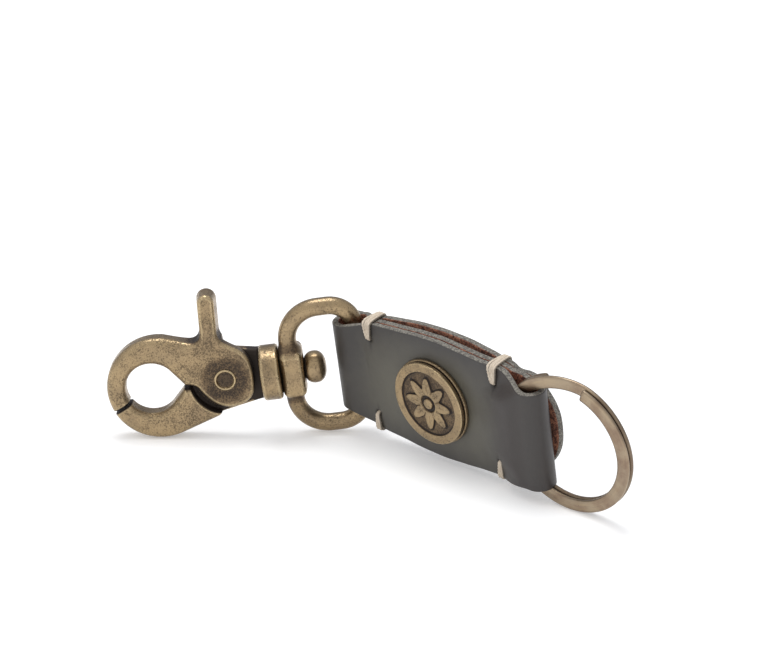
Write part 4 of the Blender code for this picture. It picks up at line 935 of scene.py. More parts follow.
def medallion_mesh(sizes):
    """A disc turned about its own axis whose front height also depends on the angle: bright border, sunk
    field, a raised rosette of petals parted by grooves, and a beaded centre; two parameters, the place along
    the turned profile and the angle."""
    seat, face_radius = -0.15 * MM, FIELD_RADIUS + BORDER_WIDTH
    face = seat - MEDALLION_HEIGHT
    inner = np.linspace(AXIS_HOLE, face_radius, 104)
    above_groove, below_groove, stem_floor = [seat - depth * MM for depth in (1.15, 0.85, 1.0)]
    stem_foot, stem_radius, rim_rounding = 1.4 * MM, 1.3 * MM, 0.32 * MM
    rim = rounded_profile([
        (face_radius, face), (MEDALLION_RADIUS, face), (MEDALLION_RADIUS, above_groove),
        (RIM_GROOVE_RADIUS, stem_floor), (RIM_GROOVE_RADIUS, below_groove), (FLANGE_RADIUS, below_groove),
        (FLANGE_RADIUS, seat), (stem_foot, seat), (stem_radius, stem_floor), (AXIS_HOLE, stem_floor)],
        rim_rounding, 7)
    radius = np.concatenate([inner, rim[1:, 0]])
    depth = np.concatenate([np.full(len(inner), face), rim[1:, 1]])
    sides = 416
    angle = math.tau * (np.arange(sides) + 0.5) / sides
    r, a = radius[:, None], angle[None]

    outline = PETAL_REACH + PETAL_SWING * np.cos(PETALS * a)
    sunk = smooth_step(FIELD_RADIUS + FIELD_STEP - r, 0, FIELD_FADE)
    raised = smooth_step(outline - r, *PETAL_FADE)
    off_groove = np.abs(np.cos(PETALS * a / 2)) * r * 2 / PETALS
    off_vein = np.abs(np.sin(PETALS * a / 2)) * r * 2 / PETALS
    groove = bell(off_groove, GROOVE_WIDTH) * smooth_step(r, *GROOVE_START)
    vein = bell(off_vein, VEIN_WIDTH) * smooth_step(r, *VEIN_START) * smooth_step(-r, *VEIN_END)
    eye = smooth_step(CENTRE_RADIUS - r, *CENTRE_FADE)
    bead = smooth_step(BEAD_RADIUS - r, *BEAD_FADE)
    drop = FIELD_DEPTH * sunk * (1 - raised * (1 - eye) - bead)
    drop = drop + raised * (1 - eye) * (GROOVE_DEPTH * groove + VEIN_DEPTH * vein)
    dome = BEAD_HEIGHT * bead * (1 - (r / BEAD_SPREAD).clip(0, 1) ** 2)
    front = (np.arange(len(radius)) < len(inner))[:, None]
    y = depth[:, None] + (drop - dome) * front
    spread = r * sizes.medallion_scale
    points = np.stack([spread * np.cos(a), y, spread * np.sin(a)], -1).reshape(-1, 3)
    quads, _ = grid_quads(len(radius), sides)

    outlined = bell(outline - r, PETAL_SHADE) + bell(BEAD_SHADE_RADIUS - r, BEAD_SHADE)
    outlined = outlined + bell(FIELD_RADIUS + BORDER_SHADE_SHIFT - r, BORDER_SHADE)
    hollow = (drop / FIELD_DEPTH).clip(0, 1) * (0.27 + 0.7 * outlined.clip(0, 1)) * front
    groove_inside, groove_outside = RIM_GROOVE_SPAN
    in_groove = (radius > groove_inside) & (radius < groove_outside) & (depth > face + RIM_GROOVE_START)
    hollow = np.maximum(hollow, in_groove[:, None] * 0.9)
    bend = -np.gradient(np.gradient(y, axis=0), axis=0) / SHARPEST_BEND
    worn = np.where(front, (-bend).clip(-1, 1), 0)
    rim_wear = bell(depth[:, None] - face - RIM_WEAR_DEPTH, RIM_WEAR_WIDTH) * (r > RIM_WEAR_RADIUS)
    marks = {"relief": np.maximum(worn * 0.6, rim_wear), "hollow": hollow}
    return build_mesh("medallion_disc", points, [quads, end_caps(len(radius), sides)], marks=marks)


def pin_mesh():
    """A post with a flattened ball head, turned about the swivel axis."""
    chamfer, post_inset, tip_radius, shade_start, shade_end = [
        length * MM for length in (0.1, 0.2, 0.05, -0.9, 0.2)]
    start = -COLLAR_LENGTH / 4 + PIN_END_GAP
    ball = BLOCK_NEAR_FACE + BLOCK_LENGTH + BALL_STAND_OFF
    angle = np.radians(np.linspace(180 - 24.6, 4, 44))
    head_along = ball + BALL_HALF_LENGTH * squared(np.cos(angle), 0.9)
    head_radius = BALL_RADIUS * np.sin(angle) ** np.where(angle > math.pi / 2, 0.62, 0.8)
    neck = head_along[0]
    post = np.linspace(start + post_inset, neck - chamfer, 12)
    along = np.concatenate([(start, start + chamfer), post, head_along])
    radius = np.concatenate([(PIN_RADIUS * 0.9, PIN_RADIUS), np.full(12, PIN_RADIUS), head_radius])
    radius = np.maximum(radius, np.where(along > neck, tip_radius, PIN_RADIUS * 0.9))
    sides = 72
    points = turned_points(along, radius, sides)
    quads, _ = grid_quads(len(along), sides)
    caps = end_caps(len(along), sides)
    hollow = smooth_step(-(along - neck), shade_start, shade_end)[:, None] * np.ones((1, sides))
    return build_mesh("ball_pin", points.reshape(-1, 3), [quads, caps],
                      marks={"hollow": hollow, "relief": np.zeros_like(hollow)}, crisp_angle=60)


def rivet_mesh():
    """A tubular rivet with rolled heads and a floor a little below the front one, turned about the pivot."""
    front = -HALF_HOOK + HEAD_STAND_OFF
    back = HALF_HOOK - LAP_GAP / 2 + BACK_STAND_OFF
    head, bore, lip = HEAD_HEIGHT, HEAD_BORE, HEAD_LIP
    floor, back_floor = front + HEAD_FLOOR_DROP, back - BACK_FLOOR_DROP
    axis_hole, slope, back_slope = 0.03 * MM, 0.3 * MM, 0.1 * MM
    bore_slack, lip_start = 0.02 * MM, 0.1 * MM
    corners = [(floor, axis_hole), (floor, bore), (front - head, bore + slope), (front - head, lip - slope),
               (front, lip), (front, RIVET_RADIUS), (back, RIVET_RADIUS), (back, lip),
               (back + head, lip - back_slope), (back + head, bore), (back_floor, bore - back_slope),
               (back_floor, axis_hole)]
    profile = rounded_profile(corners, HEAD_ROUNDING, 6)
    sides = 72
    points = turned_points(profile[:, 0], profile[:, 1], sides)
    points = np.stack([PIVOT[0] - points[..., 1], points[..., 0], PIVOT[1] + points[..., 2]], -1)
    quads, _ = grid_quads(len(profile), sides)
    caps = end_caps(len(profile), sides)
    along, out = profile.T
    # Painted shade inside the bore
    sunk = (out < bore + bore_slack)[:, None] * np.ones((1, sides))
    worn = ((out > bore + lip_start) & (out < lip) & (along < front))[:, None]
    return build_mesh("tube_rivet", points.reshape(-1, 3), [quads, caps],
                      marks={"hollow": sunk * 0.42, "relief": worn * np.ones((1, sides))}, crisp_angle=60)


def ring_mesh(sizes):
    """Flattened round wire carried along two coils: from the front end once round, a step back between the
    two ends, and once round again; two parameters, the way along the wire and the angle round its section."""
    front_end, back_end = RING_ENDS
    gap = back_end - front_end
    total = 2 * (360 - gap) + gap
    coil = (RING_BAND_DEPTH - RING_COIL_GAP) / 2
    trim = math.degrees(WIRE_END_ROUNDING / RING_RADIUS)
    travelled = np.concatenate([np.linspace(0, trim, 8)[:-1], np.linspace(trim, total - trim, 720),
                                np.linspace(total - trim, total, 8)[1:]])
    angle = np.radians(front_end - travelled)
    step = (RING_COIL_GAP + coil) / 2 * (2 * smooth_step(travelled, 360 - gap - 8, 360 + 6) - 1)
    level = np.zeros_like(angle)
    out = np.stack([np.cos(angle), level, np.sin(angle)], 1)
    path = out * RING_RADIUS + np.stack([level, step, level], 1)
    deep = np.broadcast_to((0, 1.0, 0), path.shape)
    sides = 40
    turnings = math.tau * np.arange(sides) / sides
    power = sizes.wire_squareness
    across = squared(np.cos(turnings), power) * RING_BAND_WIDTH / 2
    thick = squared(np.sin(turnings), power) * coil / 2
    from_end = np.radians(np.minimum(travelled, total - travelled)) * RING_RADIUS
    inset = WIRE_END_INSET * (1 - np.sqrt(np.clip(from_end / WIRE_END_ROUNDING, 0, 1)))
    squeeze_across = 1 - inset[:, None] / (RING_BAND_WIDTH / 2)
    squeeze_deep = 1 - inset[:, None] / (coil / 2)
    points = tube_points(path, out, deep, across * squeeze_across, thick * squeeze_deep)
    quads, places = grid_quads(len(path), sides)
    caps = end_caps(len(path), sides)
    length = math.radians(total) * RING_RADIUS
    end_mark = bell(from_end, END_STAIN_WIDTH)[:, None] * np.ones((1, sides))
    # Painted shade between the coils, where they cover each other, and on the back coil
    covered = (travelled < 360 - gap - 3) | (travelled > 363)
    inner = (np.sign(step)[:, None] * np.sin(turnings) < -0.75) * covered[:, None]
    behind = smooth_step(travelled, 364, 376)[:, None] * np.ones((1, sides))
    return build_mesh("wire_ring", points.reshape(-1, 3), [quads, caps], uv=places * (length, 1),
                      marks={"end": end_mark, "hollow": np.maximum(inner, 0.42 * behind)}, crisp_angle=70)


# Materials

class Value:
    """A shader socket that takes part in sums: each sum adds a Math node."""

    def __init__(self, graph, socket):
        self.graph = graph
        self.socket = socket

    def combine(self, operation, first, second):
        return self.graph.node("ShaderNodeMath", {"operation": operation}, {0: first, 1: second})

    def __add__(self, other):
        return self.combine("ADD", self, other)

    def __radd__(self, other):
        return self.combine("ADD", other, self)

    def __sub__(self, other):
        return self.combine("SUBTRACT", self, other)

    def __rsub__(self, other):
        return self.combine("SUBTRACT", other, self)

    def __mul__(self, other):
        return self.combine("MULTIPLY", self, other)

    def limited(self):
        return self.graph.node("ShaderNodeMath", {"operation": "ADD", "use_clamp": True}, {0: self, 1: 0.0})

    def stepped(self, low, high):
        """Rises smoothly from 0 to 1 between two values."""
        return self.graph.node("ShaderNodeMapRange", {"interpolation_type": "SMOOTHSTEP"},
                               {"Value": self, "From Min": low, "From Max": high})


class Graph:
    """The nodes of one material, with its shader and output in place."""

    def __init__(self, name):
        old = bpy.data.materials.get(name)
        self.material = old or bpy.data.materials.new(name)
        self.material.use_nodes = True
        self.tree = self.material.node_tree
        self.tree.nodes.clear()

    def node(self, kind, settings=None, sockets=None, output=0):
        """Adds a node: its settings first, then the value or the link of each socket; gives one output."""
        made = self.tree.nodes.new(kind)
        for setting, value in (settings or {}).items():
            setattr(made, setting, value)
        for socket, value in (sockets or {}).items():
            if isinstance(value, Value):
                self.tree.links.new(value.socket, made.inputs[socket])
            else:
                made.inputs[socket].default_value = value
        return Value(self, made.outputs[output]) if made.outputs else made

    def place(self):
        return self.node("ShaderNodeTexCoord", output="Object")

    def mark(self, name):
        return self.node("ShaderNodeAttribute", {"attribute_name": name}, output="Fac")

    def noise(self, place, scale, detail=3.0, roughness=0.5, distortion=0.0):
        return self.node("ShaderNodeTexNoise", None, {
            "Vector": place, "Scale": scale, "Detail": detail, "Roughness": roughness,
            "Distortion": distortion})

    def cells(self, place, scale):
        return self.node("ShaderNodeTexVoronoi", None, {"Vector": place, "Scale": scale}, "Distance")

    def stretch(self, place, scale):
        return self.node("ShaderNodeMapping", None, {"Vector": place, "Scale": scale})

    def mix(self, share, first, second):
        """A number between two numbers."""
        return self.node("ShaderNodeMix", None, {0: share, 2: first, 3: second})

    def blend(self, share, first, second):
        """A colour between two colours."""
        first = first if isinstance(first, Value) else (*first, 1)
        second = second if isinstance(second, Value) else (*second, 1)
        return self.node("ShaderNodeMix", {"data_type": "RGBA"}, {0: share, 6: first, 7: second}, output=2)

    def bump(self, height, distance):
        return self.node("ShaderNodeBump", None, {"Height": height, "Distance": distance})

    def finish(self, sockets):
        """The surface shader, with its sockets, joined to the output."""
        shader = self.node("ShaderNodeBsdfPrincipled", None, sockets)
        self.node("ShaderNodeOutputMaterial", None, {"Surface": shader})
        return self.material


def brass_material(name, look, pitting=1.0, speck=1.0):
    """Antique cast brass: warm metal, a dark skin in pits, hollows and fillets, rubbed bright on edges; the
    hollow mark also carries painted shade, which darkens the metal the same way.
    """
    graph = Graph(name)
    place = graph.place()
    relief, hollow = graph.mark("relief"), graph.mark("hollow")
    cloud = graph.noise(place, 150.0, 3.0, 0.55)
    patches = graph.noise(place, 330.0, 2.0, 0.5)
    grain = graph.noise(place, 2700.0 * speck, 5.0, 0.7, 0.3)
    fine = graph.noise(place, 6500.0 * speck, 3.0, 0.6)
    dense = (patches.stepped(0.36, 0.62) * 0.5 + 0.08 + hollow * 2.2) * pitting
    pits = (grain * 0.75 + fine * 0.45 + dense * 0.12).stepped(0.655, 0.74)
    worn = relief.stepped(0.5, 0.98)
    deep = (hollow.stepped(0.12, 0.6) + (0.0 - relief).stepped(0.05, 0.5) * 0.22).limited()
    dark = (pits * (1.0 - worn * 0.55) * 0.6 + deep * 0.95).limited()
    metal = graph.blend(cloud.stepped(0.3, 0.7), look.brass, look.brass_cool)
    # Patina and painted shade: the hollow mark browns the metal
    metal = graph.blend(hollow.stepped(0.04, 0.26) * (0.55 + patches * 0.4), metal, look.brass_stain_and_shade)
    metal = graph.blend(worn * (0.35 + patches * 0.5), metal, look.brass_bright)
    colour = graph.blend(dark, metal, look.patina_and_shade)
    roughness = 0.22 + grain * 0.14 + dark * 0.3 - worn * 0.05
    height = (1.0 - pits) * 0.75 + fine * 0.25 + grain * 0.35
    normal = graph.bump(height, PIT_DEPTH)
    return graph.finish({"Base Color": colour, "Metallic": 1.0 - dark * 0.55, "Roughness": roughness,
                         "Normal": normal})


def wire_material(look):
    """Brushed brass wire: fine lines along the wire, a brown tarnish in clouds, painted shade between the
    coils and on the back coil.
    """
    graph = Graph("Brushed brass wire")
    wire = graph.node("ShaderNodeUVMap", {"uv_map": "UVMap"})
    place = graph.place()
    lines = graph.noise(graph.stretch(wire, (260.0, 60.0, 1.0)), 1.0, 3.0, 0.7)
    broad = graph.noise(graph.stretch(wire, (70.0, 9.0, 1.0)), 1.0, 2.0, 0.5)
    cloud = graph.noise(place, 240.0, 4.0, 0.6)
    specks = graph.noise(place, 2300.0, 3.0, 0.6).stepped(0.66, 0.74)
    hollow = graph.mark("hollow")
    metal = graph.blend(cloud.stepped(0.34, 0.68), look.wire, look.wire_brown)
    metal = graph.blend((lines * 0.5 + broad * 0.5).stepped(0.4, 0.75) * 0.4, metal, look.brass_bright)
    dark = (specks * 0.4 + hollow * 0.8 + graph.mark("end") * 0.25).limited()
    colour = graph.blend(dark, metal, look.patina_and_shade)
    normal = graph.bump(lines + broad * 0.4, WIRE_LINE_DEPTH)
    return graph.finish({"Base Color": colour, "Metallic": 1.0 - dark * 0.4,
                         "Roughness": 0.3 + lines * 0.12 + dark * 0.2, "Normal": normal})


def steel_material():
    """Drawn steel with faint lines and a little oil stain."""
    graph = Graph("Drawn steel")
    place = graph.place()
    lines = graph.noise(graph.stretch(place, (400.0, 3000.0, 400.0)), 1.0, 3.0, 0.6)
    stain = graph.noise(place, 700.0, 3.0, 0.6)
    colour = graph.blend(stain.stepped(0.35, 0.7), (0.42, 0.42, 0.42), (0.2, 0.19, 0.18))
    return graph.finish({"Base Color": colour, "Metallic": 1.0, "Roughness": 0.28 + lines * 0.2,
                         "Normal": graph.bump(lines, STEEL_LINE_DEPTH)})


def leather_material(look):
    """Smooth dark leather on the outside, napped red-brown flesh on the inside and painted edges between; a
    painted sheen lightens the panel's middle and painted shade darkens the ring loop.
    """
    graph = Graph("Strap leather")
    place = graph.place()
    flesh_side, edge, hole = graph.mark("flesh"), graph.mark("edge"), graph.mark("hole")
    scuff, middle, loop_shade = graph.mark("scuff"), graph.mark("middle"), graph.mark("loop_shade")
    cloud = graph.noise(place, 55.0, 3.0, 0.5)
    mottle = graph.noise(place, 420.0, 4.0, 0.6)
    pores = graph.cells(place, 2600.0)
    fine = graph.noise(place, 3600.0, 3.0, 0.6)
    # Painted sheen: the middle mark lightens the panel's middle over the dark copy, mixed with random tone
    light = (middle * 0.75 + (cloud - 0.5) * 0.7 + (mottle - 0.5) * 0.25).limited()
    grain = graph.blend(light, look.leather_dark, look.leather)
    # Painted shade on the ring loop, with a painted highlight band near its fold
    grain = graph.blend((loop_shade * (0.75 + (cloud - 0.5) * 0.8)).limited(), grain, look.leather_loop_shade)
    grain = graph.blend((scuff * 0.5 + hole).limited(), grain, look.hole)

    paint_specks = graph.noise(place, 2400.0, 5.0, 0.7)
    paint = graph.blend(paint_specks.stepped(0.42, 0.62), look.edge_dark, look.edge_paint)

    fibre = graph.noise(place, 1500.0, 6.0, 0.75, 1.2)
    nap = graph.noise(place, 480.0, 3.0, 0.6)
    flesh = graph.blend((fibre * 0.75 + nap * 0.35).stepped(0.48, 0.64), look.flesh_dark, look.flesh)

    flesh_share = flesh_side.stepped(0.45, 0.55)
    edge_share = edge.stepped(0.35, 0.75)
    colour = graph.blend(flesh_share, grain, flesh)
    colour = graph.blend(edge_share, colour, paint)
    smooth_roughness = 0.40 + mottle * 0.10 + hole * 0.3
    roughness = graph.mix(flesh_share, smooth_roughness, 0.95)
    roughness = graph.mix(edge_share, roughness, 0.7)
    smooth_height = pores * 0.10 + fine * 0.06 + mottle * 0.2
    height = graph.mix(flesh_share, smooth_height, fibre * 3.0 + nap)
    height = graph.mix(edge_share, height, paint_specks * 1.6)
    return graph.finish({"Base Color": colour, "Roughness": roughness,
                         "Normal": graph.bump(height, LEATHER_GRAIN_DEPTH)})


def thread_material(look):
    """Waxed thread: fine fibres that follow each strand, a little darker in soiled patches, and painted shade
    on each strand's sides, where it lies against its neighbours.
    """
    graph = Graph("Waxed thread")
    strand = graph.node("ShaderNodeUVMap", {"uv_map": "UVMap"})
    place = graph.place()
    fibres = graph.noise(graph.stretch(strand, (900.0, 16.0, 1.0)), 1.0, 4.0, 0.7, 0.6)
    soil = graph.noise(place, 500.0, 3.0, 0.6)
    colour = graph.blend(fibres.stepped(0.3, 0.7), look.thread_dark, look.thread)
    colour = graph.blend(soil.stepped(0.5, 0.8) * 0.35, colour, look.thread_dark)
    # Painted shade on the sides of each strand that face its neighbours
    colour = graph.blend(graph.mark("sideways").stepped(0.55, 0.95) * 0.7, colour, look.hole)
    return graph.finish({"Base Color": colour, "Roughness": 0.72 + fibres * 0.15,
                         "Normal": graph.bump(fibres, FIBRE_DEPTH)})


def floor_material(look):
    """White sweep: a diffuse surface that takes the keychain's shadow, with a glow of its own that takes it
    to white where it is seen or mirrored."""
    graph = Graph("White sweep")
    seen, mirrored, through = [graph.node("ShaderNodeLightPath", output=ray) for ray in
                               ("Is Camera Ray", "Is Glossy Ray", "Is Transmission Ray")]
    shown = (seen + mirrored + through).limited()
    plain = graph.node("ShaderNodeBsdfDiffuse", None, {"Color": (*look.floor, 1)})
    away = graph.node("ShaderNodeVectorMath", {"operation": "LENGTH"}, {0: graph.place()}, "Value")
    faint = (look.floor_glow,) * 3
    colour = graph.blend(away.stepped(GLOW_NEAR, GLOW_FAR), faint, (0.9, 0.9, 0.9))
    glow = graph.node("ShaderNodeEmission", None, {"Color": colour, "Strength": 1.0})
    bright = graph.node("ShaderNodeAddShader", None, {0: plain, 1: glow})
    mixed = graph.node("ShaderNodeMixShader", None, {0: shown, 1: plain, 2: bright})
    graph.node("ShaderNodeOutputMaterial", None, {"Surface": mixed})
    return graph.material


# Settings that a user may change

def colour_property(name, description, value):
    return bpy.props.FloatVectorProperty(name=name, description=description, default=srgb(*value),
                                         subtype="COLOR", size=3, min=0, max=1)


def length_property(name, description, value, low=0.0):
    return bpy.props.FloatProperty(name=name, description=description, default=value, min=low,
                                   unit="LENGTH", subtype="DISTANCE", precision=5)


class KEYCHAIN_PG_sizes(bpy.types.PropertyGroup):
    """Sizes of the strap, its stitches and the wire"""
    leather_thickness: length_property("Leather thickness", "Thickness of the strip", 1.5 * MM, 0.5 * MM)
    edge_rounding: length_property("Edge rounding", "Radius of the painted edges", 0.42 * MM, 0.1 * MM)
    loop_draw: length_property("Loop draw", "How far the ring loop is drawn in", 1.2 * MM)
    loop_taper: length_property("Loop taper", "How much further the loop is drawn in at its top", 0.4 * MM)
    stitch_pinch: length_property("Stitch pinch", "How far each stitch draws the edge in", 0.16 * MM)
    thread_radius: length_property("Thread radius", "Radius of one strand of thread", 0.38 * MM, 0.1 * MM)
    ply_pitch: length_property("Ply pitch", "Length of one turn of the plies", 2.3 * MM, 0.5 * MM)
    medallion_scale: bpy.props.FloatProperty(
        name="Medallion scale", description="Width of the medallion as a share of 21 mm",
        default=0.96, min=0.5, max=1)
    fan_width: length_property("Fan width", "Width of a stitch over the top edge", 2.3 * MM, 1.0 * MM)
    cast_cell: length_property("Casting cell", "Grid size of the cast pieces", 0.17 * MM, 0.1 * MM)
    wire_squareness: bpy.props.FloatProperty(
        name="Wire squareness", description="Power of the wire's section: 1 is an ellipse, less is squarer",
        default=0.72, min=0.3, max=1)


class KEYCHAIN_PG_look(bpy.types.PropertyGroup):
    """Colours of the keychain's finishes"""
    brass: colour_property("Brass", "Warm tone of the cast brass", (167, 145, 112))
    brass_cool: colour_property("Brass, cool", "Greyer tone of the cast brass", (147, 128, 101))
    brass_bright: colour_property("Brass, rubbed", "Brass on worn edges", (200, 179, 141))
    # The stained and the dark tones serve both patina and painted shade, wherever the hollow mark carries
    # shade
    brass_stain_and_shade: colour_property("Brass, stained", "Brown skin round the rivet, in fillets", (122, 101, 78))
    patina_and_shade: colour_property("Patina", "Dark skin in pits and hollows", (50, 41, 35))
    wire: colour_property("Wire", "Tone of the split ring", (158, 142, 122))
    wire_brown: colour_property("Wire, tarnished", "Brown clouds of the split ring", (134, 114, 98))
    # Leather and Leather, dark are lit and shaded copies of the panel: the painted sheen runs between them,
    # mixed with random tone
    leather: colour_property("Leather", "Middle of the panel", (105, 102, 90))
    leather_dark: colour_property("Leather, dark", "Leather at edges and folds", (62, 59, 57))
    # Painted shade on the ring loop
    leather_loop_shade: colour_property("Leather, loop shade", "Painted shade on the ring loop", (49, 42, 40))
    hole: colour_property("Stitch hole", "Shade inside the holes", (22, 18, 16))
    edge_paint: colour_property("Edge paint", "Painted edges", (146, 142, 132))
    edge_dark: colour_property("Edge paint, rubbed", "Specks in the painted edges", (86, 82, 77))
    flesh: colour_property("Flesh side", "Raised nap inside the loops", (184, 124, 98))
    flesh_dark: colour_property("Flesh side, dark", "Between the nap's fibres", (84, 52, 42))
    thread: colour_property("Thread", "Waxed thread", (234, 222, 204))
    thread_dark: colour_property("Thread, dark", "Between the fibres", (190, 172, 150))
    floor: colour_property("Floor", "White sweep", (240, 240, 240))
    floor_glow: bpy.props.FloatProperty(
        name="Floor glow", description="Glow that takes the sweep to white where it is seen",
        default=0.29, min=0)
    lamp_power: bpy.props.FloatProperty(
        name="Lamp power", description="Power of the soft overhead lamp", default=5.0, min=0, unit="POWER")
    sky: bpy.props.FloatProperty(
        name="Room light", description="Strength of the room's even light", default=0.96, min=0)


# Operators

class KEYCHAIN_OT_strap(bpy.types.Operator):
    """Folded leather strip round the eye's bar and the split ring"""
    bl_idname = "keychain.strap"
    bl_label = "Leather Strap"

    def execute(self, context):
        mesh = strap_mesh(context.scene.keychain_sizes)
        material = leather_material(context.scene.keychain_look)
        add_piece(mesh, STRAP_PLACE, "strap", "leather_strap", material)
        return {"FINISHED"}


class KEYCHAIN_OT_stitches(bpy.types.Operator):
    """Four whip stitches of waxed thread, each over the strap's edge"""
    bl_idname = "keychain.stitches"
    bl_label = "Whip Stitches"

    def execute(self, context):
        sizes = context.scene.keychain_sizes
        material = thread_material(context.scene.keychain_look)
        for height, sign in (("top", 1), ("bottom", -1)):
            for side, across in (("left", -HALF_SPACING), ("right", HALF_SPACING)):
                node = "stitch_%s_%s" % (height, side)
                mesh = stitch_mesh("thread_%s_%s" % (height, side), across, sign, sizes)
                add_piece(mesh, STRAP_PLACE, "strap", node, material)
        return {"FINISHED"}


class KEYCHAIN_OT_medallion(bpy.types.Operator):
    """Round brass medallion with a sunk field and a rosette"""
    bl_idname = "keychain.medallion"
    bl_label = "Medallion"

    def execute(self, context):
        material = brass_material("Medallion brass", context.scene.keychain_look, 1.0, 1.15)
        place = STRAP_PLACE @ Matrix.Translation(MEDALLION_SHIFT)
        add_piece(medallion_mesh(context.scene.keychain_sizes), place, "strap", "medallion",
                  material)
        return {"FINISHED"}


class KEYCHAIN_OT_eye(bpy.types.Operator):
    """Oval eye with its block, and the pin that swivels in it"""
    bl_idname = "keychain.eye"
    bl_label = "Oval Eye and Pin"

    def execute(self, context):
        look, margin = context.scene.keychain_look, FIELD_MARGIN
        half = EYE_HEIGHT / 2 + EYE_BAR_RADIUS + margin
        low = (-EYE_WIDTH - BLOCK_LENGTH / 2 - margin, -BLOCK_DEPTH / 2 - margin, -half)
        high = (EYE_BAR_RADIUS + margin, BLOCK_DEPTH / 2 + margin, half)
        mesh = cast_mesh("oval_eye", eye_field, low, high, context.scene.keychain_sizes.cast_cell, eye_shade_and_darkening)
        material = brass_material("Eye brass", look, 0.55)
        add_piece(mesh, EYE_PLACE, "eye", "swivel_eye", material)
        add_piece(pin_mesh(), HOOK_PLACE, "hook", "swivel_pin", material)
        return {"FINISHED"}


class KEYCHAIN_OT_hook(bpy.types.Operator):
    """Snap hook: body with lower jaw and collar, trigger with upper jaw and thumb lever, and their rivet"""
    bl_idname = "keychain.hook"
    bl_label = "Snap Hook"

    def execute(self, context):
        look, cell = context.scene.keychain_look, context.scene.keychain_sizes.cast_cell
        margin = FIELD_MARGIN
        left = JAW_CENTRE[0] - JAW_RADIUS - margin
        deep = HALF_HOOK + margin
        material = brass_material("Hook brass", look)
        low = (left, -COLLAR_RADIUS - margin, -JAW_RADIUS - margin)
        high = (COLLAR_LENGTH / 2 + margin, COLLAR_RADIUS + margin, COLLAR_RADIUS + margin)
        mesh = cast_mesh("lower_jaw", hook_field, low, high, cell, hook_patina_and_shade, trigger_field)
        add_piece(mesh, HOOK_PLACE, "hook", "hook_body", material)
        low = (left, -deep, TRIGGER_LOW - margin)
        high = (TRIGGER_RIGHT + margin, deep, TRIGGER_HIGH + margin)
        mesh = cast_mesh("trigger", trigger_field, low, high, cell, hook_patina_and_shade, hook_field)
        add_piece(mesh, HOOK_PLACE, "trigger", "trigger_jaw", material)
        rivet = brass_material("Rivet brass", look, 0.25)
        add_piece(rivet_mesh(), HOOK_PLACE, "hook", "pivot_rivet", rivet)
        return {"FINISHED"}


class KEYCHAIN_OT_ring(bpy.types.Operator):
    """Split ring of flattened brass wire"""
    bl_idname = "keychain.ring"
    bl_label = "Split Ring"

    def execute(self, context):
        mesh = ring_mesh(context.scene.keychain_sizes)
        material = wire_material(context.scene.keychain_look)
        add_piece(mesh, RING_PLACE, "ring", "split_ring", material)
        return {"FINISHED"}


class KEYCHAIN_OT_fixings(bpy.types.Operator):
    """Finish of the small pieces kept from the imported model: spring, washer and clinched stem"""
    bl_idname = "keychain.fixings"
    bl_label = "Spring and Fixings"

    def execute(self, context):
        steel = steel_material()
        brass = brass_material("Stem brass", context.scene.keychain_look, 0.5)
        finishes = {"jaw_spring": steel, "medallion_washer": steel, "medallion_rivet": brass}
        for node, material in finishes.items():
            kept = frame["nodes"][node].data
            kept.materials.clear()
            kept.materials.append(material)
        return {"FINISHED"}


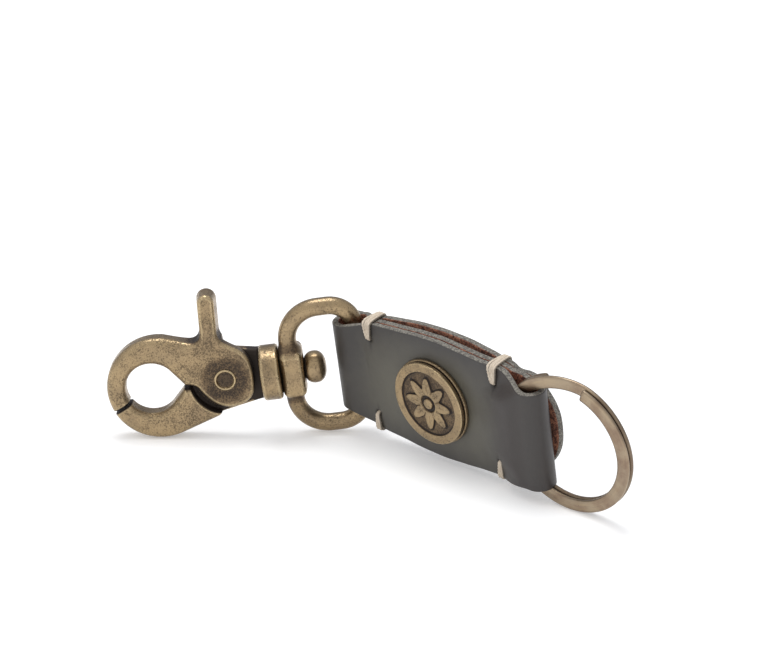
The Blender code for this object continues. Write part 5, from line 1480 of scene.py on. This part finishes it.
class KEYCHAIN_OT_stage(bpy.types.Operator):
    """White floor, soft overhead lamp, even room light and the camera"""
    bl_idname = "keychain.stage"
    bl_label = "Stage"

    def execute(self, context):
        scene, look = context.scene, context.scene.keychain_look
        reach = FLOOR_REACH
        corners = np.array([(-reach, -reach, 0), (reach, -reach, 0), (reach, reach, 0), (-reach, reach, 0)])
        mesh = build_mesh("floor", corners, [np.array([(0, 1, 2, 3)])])
        mesh.materials.append(floor_material(look))
        floor = bpy.data.objects.new("floor", mesh)
        scene.collection.objects.link(floor)
        self.add_lamp(scene, "Overhead", look.lamp_power)
        self.add_room(scene, look.sky)

        camera = bpy.data.objects.new("Camera", bpy.data.cameras.new("Camera"))
        camera.data.lens = CAMERA_LENS
        camera.data.sensor_width = 36
        camera.data.clip_start = 0.01
        aimed = Matrix.Translation(CAMERA_PLACE) @ turn("Z", CAMERA_HEADING) @ turn("X", 90 - CAMERA_DOWN)
        camera.matrix_world = aimed @ turn("Z", CAMERA_ROLL)
        scene.collection.objects.link(camera)
        scene.camera = camera
        scene.view_settings.view_transform = "Standard"
        return {"FINISHED"}

    @staticmethod
    def add_lamp(scene, name, power):
        lamp = bpy.data.objects.new(name, bpy.data.lights.new(name, "AREA"))
        lamp.data.shape = "DISK"
        lamp.data.size = LAMP_SIZE
        lamp.data.energy = power
        lamp.location = LAMP_PLACE
        lamp.rotation_euler = [math.radians(angle) for angle in LAMP_TURN]
        scene.collection.objects.link(lamp)

    @staticmethod
    def add_room(scene, strength):
        """Even light, dimmer behind the keychain and to its right than in front of it and overhead."""
        world = bpy.data.worlds.new("Room")
        world.use_nodes = True
        scene.world = world
        nodes, links = world.node_tree.nodes, world.node_tree.links
        background = nodes["Background"]
        place = nodes.new("ShaderNodeTexCoord")
        away = nodes.new("ShaderNodeVectorMath")
        away.operation = "DOT_PRODUCT"
        away.inputs[1].default_value = (0.3, 0.85, -0.5)
        links.new(place.outputs["Generated"], away.inputs[0])
        ramp = nodes.new("ShaderNodeValToRGB")
        span = nodes.new("ShaderNodeMapRange")
        span.inputs["From Min"].default_value = -1.0
        links.new(away.outputs["Value"], span.inputs["Value"])
        links.new(span.outputs[0], ramp.inputs[0])
        ramp.color_ramp.elements[0].color = (1, 1, 1, 1)
        ramp.color_ramp.elements[1].color = (0.27, 0.29, 0.35, 1)
        seen = nodes.new("ShaderNodeLightPath")
        white = nodes.new("ShaderNodeMix")
        white.data_type = "RGBA"
        white.inputs["B"].default_value = (1.1, 1.1, 1.1, 1)
        links.new(seen.outputs["Is Camera Ray"], white.inputs["Factor"])
        links.new(ramp.outputs[0], white.inputs["A"])
        links.new(white.outputs["Result"], background.inputs["Color"])
        background.inputs["Strength"].default_value = strength


PIECE_OPERATORS = (KEYCHAIN_OT_strap, KEYCHAIN_OT_stitches, KEYCHAIN_OT_medallion, KEYCHAIN_OT_eye,
                   KEYCHAIN_OT_hook, KEYCHAIN_OT_ring, KEYCHAIN_OT_fixings, KEYCHAIN_OT_stage)


class KEYCHAIN_PT_panel(bpy.types.Panel):
    """Sizes, colours and building steps of the keychain"""
    bl_label = "Leather Keychain"
    bl_idname = "KEYCHAIN_PT_panel"
    bl_space_type = "VIEW_3D"
    bl_region_type = "UI"
    bl_category = "Keychain"

    def draw(self, context):
        for group in (context.scene.keychain_sizes, context.scene.keychain_look):
            box = self.layout.box()
            for name in group.bl_rna.properties.keys():
                if name not in ("rna_type", "name"):
                    box.prop(group, name)
        for operator in PIECE_OPERATORS:
            self.layout.operator(operator.bl_idname)


CLASSES = (KEYCHAIN_PG_sizes, KEYCHAIN_PG_look, *PIECE_OPERATORS, KEYCHAIN_PT_panel)


def register():
    for cls in CLASSES:
        bpy.utils.register_class(cls)
    bpy.types.Scene.keychain_sizes = bpy.props.PointerProperty(type=KEYCHAIN_PG_sizes)
    bpy.types.Scene.keychain_look = bpy.props.PointerProperty(type=KEYCHAIN_PG_look)


def unregister():
    del bpy.types.Scene.keychain_look
    del bpy.types.Scene.keychain_sizes
    for cls in reversed(CLASSES):
        bpy.utils.unregister_class(cls)


def main():
    register()
    for step in PIECE_OPERATORS:
        getattr(bpy.ops.keychain, step.bl_idname.split(".")[1])()
    bpy.context.view_layer.update()


if __name__ == "__main__":
    main()
